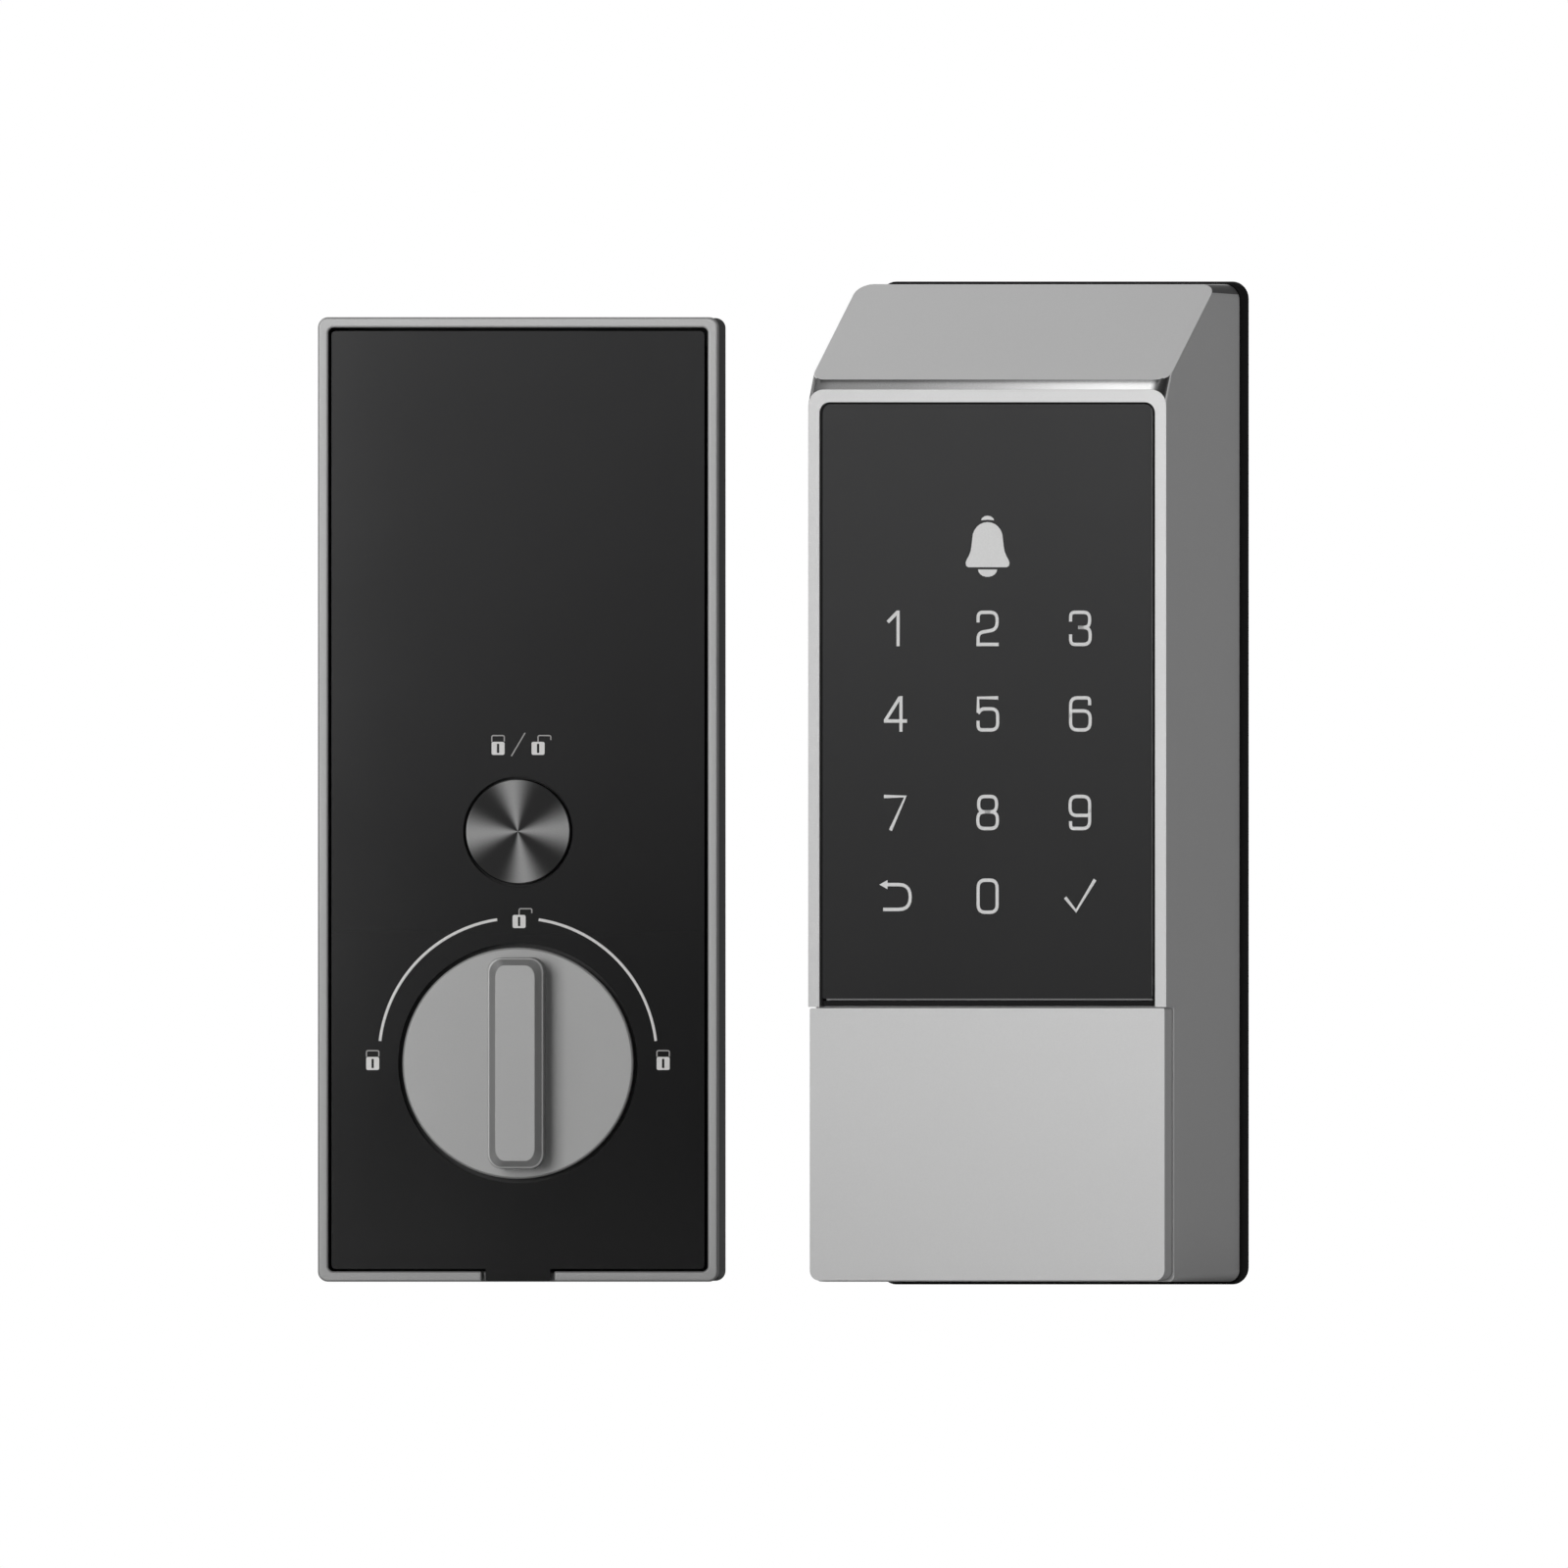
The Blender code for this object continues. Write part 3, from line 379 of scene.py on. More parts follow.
inside = half - WALL
rise = slope_way.z / slope_way.y
drop = WALL * math.hypot(1, rise)
ceiling, ground, rear = HOUSING_TOP - WALL, HOUSING_BOTTOM + WALL, HOUSING_BACK + 2
hollow = [
    (rear, ground),
    (DECK_BACK, ground),
    (DECK_BACK, COVER_TOP - 0.5),
    (LEDGE_BACK, COVER_TOP - 0.5),
    (LEDGE_BACK, SLOPE_LOW[1] - drop + rise * (LEDGE_BACK - SLOPE_LOW[0])),
    (SLOPE_LOW[0] + (ceiling + drop - SLOPE_LOW[1]) / rise, ceiling),
    (rear, ceiling),
]
ahead = HOUSING_FRONT - 2
cut(housing, prism("hollow", hollow, -inside, inside, "X"))
cover_bay = rounded(ahead, DECK_FRONT, HOUSING_BOTTOM - 2, COVER_TOP)
cut(housing, prism("cover_bay", cover_bay, -half - 2, half + 2, "X"))
cut(housing, prism("glass_pocket", rounded(-30.95, 30.95, COVER_TOP - 1, 111.3, 0, 1.9), ahead, LEDGE_FRONT))
cut(housing, prism("window", rounded(-27.5, 27.5, 14.5, 107.5, 1, 1), ahead, LEDGE_BACK + 1))
for x in (-SLIDE_X, SLIDE_X):
    slot = rounded(x - SLIDE_REACH, x + SLIDE_REACH, -32.8, 5.7, SLIDE_REACH)
    cut(housing, prism("slot", slot, DECK_FRONT - 1, DECK_BACK + 1))
cut(housing, turned("cylinder_hole", [(8.2, DECK_FRONT - 1), (8.2, DECK_BACK + 1)]))
fit(housing, "exterior_unit", silver_paint, "exterior_housing")
housing.data.materials.append(band_painted_reflection)
housing.data.materials.append(corner_painted_shade)
# The band's faces take the painted reflection, and the rear top corners' faces the painted shade.
for face in housing.data.polygons:
    on_front = face.center.y < (HOUSING_FRONT + 0.1) * MM
    in_band = BEZEL_TOP * MM < face.center.z < (SLOPE_LOW[1] + 0.2) * MM
    if in_band and not on_front and face.normal.y < -0.55 and face.normal.z > 0.25:
        face.material_index = 1
    elif face.center.y > SLOPE_HIGH[0] * MM and 0.3 < face.normal.z < 0.97:
        face.material_index = 2
soften(housing, 0)


# The touch glass is black tempered glass bonded into the bezel on a rubber seal. The real signs are printed
# on its back and lit from behind: here they are thin pale strokes on its front. Its fade, darker towards
# the bottom, is a painted reflection.
GLASS_FRONT, GLASS_BACK = -33.2, -31.7
INK = 0.03  # how far a printed sign stands proud
GLOSS = {"rough": 0.10, "grain": 40.0, "mottle": 0.03, "relief": 0.0, "gloss": 0.4}
PRINT = {"rough": 0.5, "grain": 0.3, "mottle": 0.03, "relief": 0.001}
# Painted reflection: the glass is drawn darker towards the bottom.
glass_painted_reflection = (2, [(10.0, 0.50), (111.0, 1.0)])
black_glass = surface("black_glass", (0.056, 0.056, 0.0565), **GLOSS, fade=glass_painted_reflection)
pale_ink = surface("black_glass", (0.70, 0.70, 0.695), **PRINT)

seal = prism("glass_seal", rounded(-30.92, 30.92, 9.6, 111.27, 0, 1.9), -33.05, -31.6)
cut(seal, prism("glass_place", rounded(-30.46, 30.46, 8.0, 110.96, 0.3, 1.5), -35.0, -30.0))
soften(seal, 0)
glass = prism("touch_glass", rounded(-30.45, 30.45, 10.85, 110.95, 0.3, 1.5), GLASS_FRONT, GLASS_BACK)
soften(glass, 0.12, 2)
fit(glass, "exterior_unit", black_glass, "touch_panel")
rubber = surface("rubber", (0.006, 0.006, 0.006), 0.75, grain=0.12, mottle=0.3, relief=0.02, gloss=0.2)
fit(seal, "exterior_unit", rubber)


def round_corners(points, radius, closed=False, steps=5):
    """The points of a line whose corners are rounded. The ends of an open line stay."""
    found = []
    count = len(points)
    for i, point in enumerate(points):
        here = Vector(point)
        if not radius or (not closed and i in (0, count - 1)):
            found.append(here)
            continue
        back, on = Vector(points[i - 1]) - here, Vector(points[(i + 1) % count]) - here
        reach = min(radius, back.length / 2, on.length / 2)
        start, end = here + back.normalized() * reach, here + on.normalized() * reach
        for step in range(steps + 1):
            share = step / steps
            found.append(start * (1 - share) ** 2 + here * 2 * share * (1 - share) + end * share**2)
    return found


def ink_lines(name, lines, width, face, closed=()):
    """Flat printed strokes in front of a face: each line is (points, corner radius)."""
    curve = bpy.data.curves.new(name, "CURVE")
    curve.dimensions = "3D"
    curve.bevel_depth = width / 2 * MM
    curve.bevel_resolution = 2
    curve.use_fill_caps = True
    for number, (points, radius) in enumerate(lines):
        points = round_corners(points, radius, number in closed)
        spline = curve.splines.new("POLY")
        spline.points.add(len(points) - 1)
        spline.use_cyclic_u = number in closed
        for spot, (x, z) in zip(spline.points, points):
            spot.co = (x * MM, 0, z * MM, 1)
    piece = bpy.data.objects.new(name, curve)
    bpy.context.scene.collection.objects.link(piece)
    activate(piece)
    bpy.ops.object.convert(target="MESH")
    piece = bpy.context.object
    flat = 2 * INK / width
    piece.data.transform(Matrix.Translation((0, face * MM, 0)) @ Matrix.Diagonal((1, flat, 1, 1)))
    return piece


def shifted(points, x, z):
    return [(px + x, pz + z) for px, pz in points]


A, B = 1.75, 2.7  # half the width and the height of a digit's line
SIGNS = {  # the lines of each sign as (points, corner radius), and which of its lines are closed
    "0": ([([(-A, -B), (A, -B), (A, B), (-A, B)], 1.3)], [0]),
    "1": ([([(-1.35, 1.05), (0.45, 2.75)], 0), ([(0.55, 3.0), (0.55, -3.0)], 0)], []),
    "2": ([
        ([(-A, 1.0), (-A, B), (A, B), (A, -0.2), (-A, -0.75), (-A, -B)], 1.25),
        ([(-2.05, -B), (2.05, -B)], 0),
    ], []),
    "3": ([
        ([(-A, 1.15), (-A, B), (A, B), (A, 0.15), (-0.4, 0.15)], 1.1),
        ([(-0.4, 0.15), (1.85, 0.15), (1.85, -B), (-A, -B), (-A, -1.0)], 1.2),
    ], []),
    "4": ([
        ([(1.08, 3.0), (1.08, -3.0)], 0),
        ([(0.9, 2.8), (-1.8, -1.1)], 0),
        ([(-2.05, -1.2), (2.2, -1.2)], 0),
    ], []),
    "5": ([
        ([(1.95, B), (-A, B), (-A, 0.2)], 0),
        ([(-A, 0.1), (-1.1, 0.85), (1.85, 0.85), (1.85, -B), (-A, -B), (-A, -1.15)], 1.2),
    ], []),
    "6": ([
        ([(A, 1.45), (A, B), (-A, B), (-A, -B), (1.85, -B), (1.85, 0.5), (-A, 0.5), (-A, -0.6)], 1.25),
    ], []),
    "7": ([([(-2.05, B), (1.9, B), (-0.85, -3.0)], 0)], []),
    "8": ([
        ([(-1.65, 0.1), (1.65, 0.1), (1.65, B), (-1.65, B)], 1.15),
        ([(-1.8, -B), (1.8, -B), (1.8, 0.1), (-1.8, 0.1)], 1.2),
    ], [0, 1]),
    "9": ([
        ([(-A, -1.45), (-A, -B), (A, -B), (A, B), (-1.85, B), (-1.85, -0.5), (A, -0.5), (A, 0.6)], 1.25),
    ], []),
    "check": ([([(-2.75, -0.2), (-0.75, -2.5), (2.75, 2.8)], 0)], []),
    "back": ([([(-1.5, 1.96), (2.8, 1.96), (2.8, -2.23), (-2.2, -2.23)], 2.6)], []),
}
SIGN_PITCH = 17.05
SIGN_ROWS = ((73.2, "123"), (58.8, "456"), (42.2, "789"), (28.1, ("back", "0", "check")))
for height, row in SIGN_ROWS:
    for column, sign in enumerate(row):
        lines, closed = SIGNS[sign]
        x = (column - 1) * SIGN_PITCH
        moved = [(shifted(points, x, height), radius) for points, radius in lines]
        fit(ink_lines(f"sign_{sign}", moved, 0.62, GLASS_FRONT, closed), "exterior_unit", pale_ink)
arrow = [(-2.9, 1.96), (-1.4, 1.2), (-1.4, 2.72)]
arrow = prism("sign_back_arrow", shifted(arrow, -SIGN_PITCH, 28.1), GLASS_FRONT - INK, GLASS_FRONT + INK)
fit(arrow, "exterior_unit", pale_ink)

BELL_FOOT = 83.5


def bow(wide, high, middle, angles):
    """Points on a flattened round, at angles in degrees."""
    return [(wide * math.cos(math.radians(a)), middle + high * math.sin(math.radians(a))) for a in angles]


dome = bow(2.8, 2.75, 4.85, range(0, 91, 15))
flank = [(3.55, 0.0), (3.95, 0.25), (4.03, 0.75), (3.85, 1.25), (3.45, 1.9), (3.12, 2.7), (2.97, 3.5)]
right_side = flank + dome
bell = right_side + [(-x, z) for x, z in reversed(right_side[:-1])]
half_cap = [(1.2, 7.9), (1.05, 8.25), (0.55, 8.58), (0, 8.68)]
bell_cap = half_cap + [(-x, z) for x, z in reversed(half_cap[:-1])] + [(0, 8.0)]
clapper = bow(1.75, 1.25, -0.38, range(180, 361, 20))
for name, outline in (("sign_bell", bell), ("sign_bell_cap", bell_cap), ("sign_bell_clapper", clapper)):
    sign = prism(name, shifted(outline, 0, BELL_FOOT), GLASS_FRONT - INK, GLASS_FRONT + INK)
    fit(sign, "exterior_unit", pale_ink)


# Under the glass a black rubber strip closes the gap to the key cover. A thin step of the bezel shows
# above it as a faint light line.
# Painted shade: the bezel step's silver is drawn dark, for the shade in the recess under the glass.
step_painted_shade = surface(
    "silver_paint", (0.17, 0.17, 0.17), 0.4, metal=0.2, grain=0.2, mottle=0.03, relief=0.001
)
ledge = prism("bezel_step", rounded(-29.6, 30.3, 10.66, 10.83), -33.12, -31.8)
fit(ledge, "exterior_unit", step_painted_shade)
strip = prism("rubber_strip", rounded(-30.45, 30.45, 9.6, 10.55, 0.3), -33.0, -31.8)
soften(strip, 0.15, 2)
fit(strip, "exterior_unit", rubber, "cover_bumper")


# The key cover is a painted zinc plate with a short skirt. It hides the key cylinder, and slides down on
# two pegs that run in slots of the housing; white slides clip over the pegs behind.
cover = prism("key_cover_plate", rounded(-32.7, 32.7, -36.6, 9.25, 1.7, 0.35), -33.4, -30.4)
cut(cover, prism("underside", rounded(-31.3, 31.3, -35.2, 14.0, 0.6), -32.0, -29.0))
for x in (-SLIDE_X, SLIDE_X):
    for z in (3.5, -2.5):
        join(cover, turned("peg", [(1.9, -32.4), (1.9, -28.0)], x, z, 32))
soften(cover, 0.22, 3)
# The cover's paint carries the housing's painted shade, darker towards the bottom.
fit(cover, "key_cover", silver_paint, "key_cover")

white_plastic = surface("white_plastic", (0.72, 0.72, 0.69), 0.4, grain=0.4, mottle=0.03, relief=0.004)
for side, x in (("left", -SLIDE_X), ("right", SLIDE_X)):
    slide = prism(f"slide_{side}", rounded(x - 3.2, x + 3.2, -5.7, 6.2, 0.8), -27.7, -26.3)
    for z in (3.5, -2.5):
        join(slide, turned("screw_head", [(1.7, -26.6), (1.7, -25.7), (1.2, -25.3)], x, z, 32))
    soften(slide, 0.2, 2)
    fit(slide, "key_cover", white_plastic, f"cover_slide_{side}")


# The key cylinder is turned brass, nickel plated at its face. The plug carries the keyway; behind, a steel
# clip holds it and turns the flat tailpiece that works the bolt.
brass = surface("brass", (0.62, 0.47, 0.22), 0.3, metal=1.0, grain=0.5, mottle=0.06, relief=0.003)
nickel = surface("brass", (0.55, 0.54, 0.51), 0.25, metal=1.0, grain=0.3, mottle=0.04, relief=0.002)
zinc_steel = surface("zinc_steel", (0.50, 0.50, 0.49), 0.34, metal=1.0, grain=0.8, mottle=0.08, relief=0.004)
collar = turned("cylinder_body", [(8.8, -31.5), (9.1, -31.2), (9.1, -30.4), (7.9, -30.4), (7.9, -9.0)])
join(collar, prism("pin_chamber", rounded(-4.3, 4.3, -16.5, -2.0, 4.2, 0), -27.8, -9.5))
cut(collar, turned("plug_bore", [(6.65, -33), (6.65, -8)]))
soften(collar, 0.15, 2)
fit(collar, "exterior_unit", nickel, "key_cylinder_body")
barrel = [(6.05, -31.7), (6.35, -31.4), (6.35, -8.7)]
clip_neck = [(5.0, -8.7), (5.0, -7.7), (6.0, -7.7), (6.0, -6.9)]
plug = turned("cylinder_plug", barrel + clip_neck)
keyway = [(-0.6, 4.2), (-0.6, 2.2), (-1.3, 1.6), (-1.3, 0.9), (-0.5, 0.3), (-0.5, -1.6), (-1.0, -2.1)]
keyway += [(-1.0, -3.8), (0.6, -3.8), (0.6, -1.0), (1.2, -0.5), (1.2, 0.3), (0.5, 0.8), (0.6, 4.2)]
cut(plug, prism("keyway", keyway, -33, -11))
soften(plug, 0.1, 2)
fit(plug, "key_plug", nickel, "key_plug")
tail = turned("tailpiece_blade", [(5.3, -6.6), (5.6, -6.3), (5.6, -5.2)], steps=48)
blade = prism("blade", rounded(-1.2, 1.2, -3.8, 3.8, 0.3), -5.6, 50.0)
join(tail, blade)
for score in (20.0, 28.0, 36.0, 44.0):  # break-off scores for thinner doors
    near, far = score - 0.5, score + 0.5
    for shallow, deep in ((-1.05, -1.4), (1.05, 1.4)):
        notch = [(shallow, near), (deep, near), (deep, far), (shallow, far)]
        cut(tail, prism("score", notch, -5, 5, "Z"))
soften(tail, 0.1, 2)
fit(tail, "key_plug", zinc_steel, "tailpiece")


def paint(skin, *nodes):
    """Gives pieces that stay as the frame has them their finish."""
    for name in nodes:
        node = frame["nodes"][name]
        node.data.materials.clear()
        node.data.materials.append(skin)


paint(zinc_steel, "plug_clip")

# Behind, a black moulded plate closes the keypad unit, screwed at six corners, with two threaded steel
# posts for the through bolts. A foam rubber gasket lies on it and meets the door.
POST_X = 19.0
black_plastic = surface(
    "black_plastic", (0.022, 0.022, 0.022), 0.5, grain=0.2, mottle=0.15, relief=0.02, gloss=0.4
)
back_plate = prism("back_plate", rounded(-30.7, 30.7, -34.5, 128.85, 1.2), -4.8, -3.1)
cut(back_plate, turned("bore", [(11.0, -6), (11.0, -2)]))
cut(back_plate, prism("cable_slot", rounded(-7, 7, 19.5, 28.5, 2.0), -6, -2))
back_spots = [(side * x, z) for x, z in ((13.0, -30.5), (27.4, 12.0), (27.0, 124.5)) for side in (-1, 1)]
for x, z in back_spots:
    cut(back_plate, turned("seat", [(3.0, -3.9), (3.0, -2)], x, z, 32))
for x in (-POST_X, POST_X):
    cut(back_plate, turned("post_hole", [(3.8, -6), (3.8, -2)], x, 0, 32))
for z in (52, 66, 80, 94, 108):  # shallow moulded channels
    cut(back_plate, prism("channel", rounded(-19, 19, z - 4.5, z + 4.5, 1.0), -3.6, -2))
soften(back_plate, 0.12, 2)
fit(back_plate, "exterior_unit", black_plastic, "exterior_back_plate")


def screw(name, x, z, seat, way, head, shank, length=6.0, tall=1.25):
    """A pan-head screw with a cross recess. Way is 1 where its head faces +Y."""
    profile = [(shank * 0.6, -length), (shank, -length + 1), (shank, 0)]
    profile += [(head, 0), (head, 0.5 * tall), (0.7 * head, tall)]
    made = turned(name, [(radius, seat + way * depth) for radius, depth in profile], x, z, 32)
    reach = 0.55 * head
    for wide, high in ((reach, 0.3), (0.3, reach)):
        cross = rounded(x - wide, x + wide, z - high, z + high)
        cut(made, prism("cross", cross, seat + way * 0.35 * tall, seat + way * (tall + 1)))
    return soften(made, 0.08, 2)


for number, (x, z) in enumerate(back_spots, 1):
    fit(screw(f"back_screw_{number}", x, z, -4.7, 1, 2.5, 1.15), "exterior_unit", zinc_steel)
for side, x in (("left", -POST_X), ("right", POST_X)):
    post = turned(f"post_{side}", [(5, -9), (5, -5.1), (3.5, -5.1), (3.5, 11.6), (3.1, 12.0)], x, 0, 48)
    cut(post, turned("thread_bore", [(2.1, -4), (2.1, 11.5), (2.5, 13)], x, 0, 48))
    soften(post, 0.08, 2)
    fit(post, "exterior_unit", zinc_steel, f"threaded_post_{side}")
lip = HOUSING_HALF + 0.45
gasket = prism("foam_gasket", rounded(-lip, lip, -37.25, 131.6, 2.9), -2.75, 0.0)
cut(gasket, turned("bore", [(25.5, -5), (25.5, 2)], steps=96))
cut(gasket, prism("window", rounded(-22, 22, 36, 118, 4.0), -5, 2))
cut(gasket, prism("cable_way", rounded(-10, 10, 15, 40, 1.0), -5, 2))
soften(gasket, 0.3, 3)
fit(gasket, "exterior_unit", rubber, "weather_gasket")

# The keypad unit's inner pieces: the touch board in its carrier, a white sheet that spreads the light,
# the speaker and the cable's socket. They stay as the frame has them.
circuit_board = surface("circuit_board", (0.015, 0.10, 0.04), 0.35, grain=1.2, mottle=0.35, relief=0.02)
paint(circuit_board, "touch_circuit_board", "main_circuit_board")
paint(black_plastic, "board_carrier", "speaker", "tact_switch", "buzzer")
paint(white_plastic, "touch_light_guide", "exterior_cable_socket", "interior_cable_socket")
paint(white_plastic, "knob_bush", "button_retainer", "output_gear", "idler_gear")
paint(zinc_steel, "spindle_hub", "idler_axle", "drive_motor", "gearbox_plate")
paint(brass, "motor_pinion")

# The battery unit stands beside the keypad unit, turned about the upright. All its pieces are drawn in its
# own frame, whose axis is the thumb turn's.
spin = next(joint for joint in frame["joints"] if joint["name"] == "thumb_turn_spin")
turn = math.atan2(-spin["axis"][0], spin["axis"][1])
unit = Matrix.Translation((spin["pos_m"][0], spin["pos_m"][1], 0)) @ Matrix.Rotation(turn, 4, "Z")

# A pressed steel plate is screwed to the inside of the door by the two through bolts, and the battery unit
# hangs on it.
plate = prism("wall_plate", rounded(-28, 28, -31, 117, 3.0), -1.9, 0.0)
cut(plate, turned("hub_hole", [(9.0, -3), (9.0, 1)]))
cut(plate, prism("cable_slot", rounded(-7, 7, 19.5, 28.5, 2.0), -3, 1))
for x in (-POST_X, POST_X):
    cut(plate, turned("bolt_hole", [(2.8, -3), (2.8, 1)], x, 0, 32))
for x in (-20, 20):
    cut(plate, turned("screw_hole", [(1.8, -3), (1.8, 1)], x, -22, 32))
for z in (46, 66, 86, 106):  # pressed stiffening grooves
    cut(plate, prism("groove", rounded(-20, 20, z - 2.2, z + 2.2, 2.15), -1.1, 1))
soften(plate, 0.15, 2)
fit(plate, "exterior_unit", zinc_steel, "mounting_plate", place=unit)
for side, x in (("left", -POST_X), ("right", POST_X)):
    profile = [(2.0, -3.7), (2.2, -4.5), (4.2, -4.5), (4.6, -4.0), (4.6, -2.2), (2.4, -2.2), (2.4, 8.0)]
    for turn_of_thread in range(30):  # the thread, as fine grooves
        start = 8.0 + 0.58 * turn_of_thread
        profile += [(2.4, start), (2.12, start + 0.29), (2.4, start + 0.58)]
    profile += [(2.0, 26.0)]
    bolt = turned(f"bolt_{side}", profile, x, 0, 32)
    soften(bolt, 0)
    fit(bolt, "exterior_unit", zinc_steel, f"through_bolt_{side}", place=unit)

# The battery unit's frame is a silver painted ring round a black moulded housing. The ring has a notch at
# its foot for the panel's tab. Its silver is drawn darker than the keypad unit's, and darker still towards
# the bottom: both are painted shade.
UNIT_HALF, UNIT_BOTTOM, UNIT_TOP = 33.75, -36.8, 125.6
RIM = 1.75
CHASSIS_SPOTS = [(x, z) for x in (-27.0, 27.0) for z in (-30.5, 53.5)]
# Painted shade: the ring's silver is drawn darker than the keypad unit's, and darker downwards.
ring_downward_painted_shade = (2, [(UNIT_BOTTOM, 0.74), (UNIT_TOP, 1.08)])
ring_silver_painted_shade = surface("silver_paint", (0.342, 0.342, 0.34), **SATIN, fade=ring_downward_painted_shade)
ring = prism("silver_frame", rounded(-UNIT_HALF, UNIT_HALF, UNIT_BOTTOM, UNIT_TOP, 1.7), -24.0, -20.5)
opening = rounded(RIM - UNIT_HALF, UNIT_HALF - RIM, UNIT_BOTTOM + RIM, UNIT_TOP - RIM, 0.9)
cut(ring, prism("opening", opening, -25.0, -19.0))
cut(ring, prism("notch", rounded(-6.1, 6.1, UNIT_BOTTOM - 1, UNIT_BOTTOM + 3), -25.0, -21.6))
soften(ring, 0.35, 3)
fit(ring, "interior_unit", ring_silver_painted_shade, "interior_frame", place=unit)
inset = 0.15
body = rounded(inset - UNIT_HALF, UNIT_HALF - inset, UNIT_BOTTOM + inset, UNIT_TOP - inset, 1.7)
casing = prism("battery_casing", body, -20.25, -0.4)
inner = rounded(1.75 - UNIT_HALF, UNIT_HALF - 1.75, UNIT_BOTTOM + 1.75, UNIT_TOP - 1.75, 0.8)
cut(casing, prism("front_hollow", inner, -22.0, -3.9), prism("rear_recess", inner, -2.3, 2.0))
for x, z in CHASSIS_SPOTS:
    join(casing, turned("boss", [(3.0, -18.9), (3.0, -3.3)], x, z, 32))
cut(casing, turned("spindle_way", [(8.0, -6), (8.0, -1)]))
cut(casing, prism("cable_slot", rounded(-7, 7, 19.5, 28.5, 2.0), -6, -1))
for x in (-POST_X, POST_X):
    cut(casing, turned("bolt_way", [(5.4, -6), (5.4, -1)], x, 0, 32))
soften(casing, 0.25, 2)
fit(casing, "interior_unit", black_plastic, "interior_housing", place=unit)
paint(zinc_steel, "unit_screw_1", "unit_screw_2")

# The battery cover is a gloss black panel that snaps into the ring. It has round openings for the button
# and the thumb turn, and a tab at its foot to pull it off by. Its fade, darker towards the bottom, is a
# painted reflection.
PANEL_FRONT = -23.85
# Painted reflection: the panel is drawn darker towards the bottom.
panel_painted_reflection = (2, [(-35.0, 0.05), (10.0, 0.22), (50.0, 0.56), (123.0, 1.0)])
gloss_black = surface("black_glass", (0.034, 0.034, 0.0345), **GLOSS, fade=panel_painted_reflection)
panel = prism("gloss_panel", rounded(-31.45, 31.45, -34.65, 123.25, 0.7), PANEL_FRONT, -21.1)
cut(panel, prism("underside", rounded(-30.25, 30.25, -33.45, 122.05), -22.3, -19.0))
join(panel, prism("tab", rounded(-5.45, 5.45, -36.75, -34.05, 0.4), PANEL_FRONT, -21.9))
BUTTON_Z = 39.0
cut(panel, turned("knob_opening", [(20.2, -25), (20.2, -21)], steps=96))
cut(panel, turned("button_opening", [(9.25, -25), (9.25, -21)], 0, BUTTON_Z))
soften(panel, 0.18, 3)
fit(panel, "front_panel", gloss_black, "front_panel", place=unit)

# The panel is printed with two arcs round the thumb turn and with small padlocks, shut and open. Each sign
# is a thin flat layer of ink on the panel's front.
ARC_RADIUS, ARC_CENTRE = 23.42, 1.0
warm_ink = surface("black_glass", (0.70, 0.69, 0.68), **PRINT)
dim_ink = surface("black_glass", (0.38, 0.37, 0.365), **PRINT)


def padlock(name, x, z, shackle):
    """A padlock with its keyhole, whose foot is at z. Its shackle is shut, or open and to the right."""
    wide, tall = 1.1, 2.2
    outline = rounded(x - wide, x + wide, z, z + tall, 0.3, 0.3, 4)
    body = prism(name, outline, PANEL_FRONT - INK, PANEL_FRONT + INK)
    cut(body, prism("keyhole", rounded(x - 0.2, x + 0.2, z + 0.32, z + 1.88, 0.1, 0.1, 3), -25, -23))
    fit(body, "front_panel", warm_ink, place=unit)
    left, right, lift = {"shut": (-1.05, 1.05, 0.08), "open": (0.0, 2.15, 0.3)}[shackle]
    top = z + tall + 1.05
    loop = [(x + left, z + tall), (x + left, top), (x + right, top), (x + right, z + tall + lift)]
    made = ink_lines(f"{name}_shackle", [(loop, 0.3)], 0.22, PANEL_FRONT)
    fit(made, "front_panel", dim_ink, place=unit)


for name, side in (("arc_left", -1), ("arc_right", 1)):
    turns = [math.radians(8.6 + 74.7 * i / 40) for i in range(41)]
    line = [(side * ARC_RADIUS * math.sin(a), ARC_CENTRE + ARC_RADIUS * math.cos(a)) for a in turns]
    fit(ink_lines(name, [(line, 0)], 0.5, PANEL_FRONT), "front_panel", warm_ink, place=unit)
padlock("padlock_shut_small", -3.35, 51.9, "shut")
padlock("padlock_open_small", 3.4, 51.9, "open")
slash = ink_lines("padlock_slash", [([(-1.1, 51.7), (1.2, 55.6)], 0)], 0.22, PANEL_FRONT)
fit(slash, "front_panel", dim_ink, place=unit)
padlock("padlock_open_top", 0.2, 22.75, "open")
padlock("padlock_shut_left", -24.5, -1.15, "shut")
padlock("padlock_shut_right", 24.5, -1.15, "shut")

# The thumb turn is a satin blasted disc with a long chamfered grip, cast in one piece. It turns in a bush
# in the chassis plate and works the spindle behind it.
GRIP_FOOT, GRIP_STEP, GRIP_TOP = -23.0, -30.6, -32.1
GRIP_SIZE, STEP_SIZE, FACE_SIZE = (4.7, 17.75), (4.4, 17.45), (3.35, 16.5)  # half across and half along
satin_metal = surface(
    "satin_metal", (0.29, 0.29, 0.288), 0.42, metal=0.3, grain=0.15, mottle=0.02, relief=0.004
)
disc = [(19.2, -24.1), (19.5, -23.85), (19.5, -21.2), (8.0, -21.2), (8.0, -15.6)]
knob = turned("thumb_turn_knob", disc, steps=128)
wide, long = GRIP_SIZE
grip = prism("grip", rounded(-wide, wide, -long, long, 2.3), GRIP_FOOT, GRIP_STEP)
bpy.ops.object.mode_set(mode="EDIT")
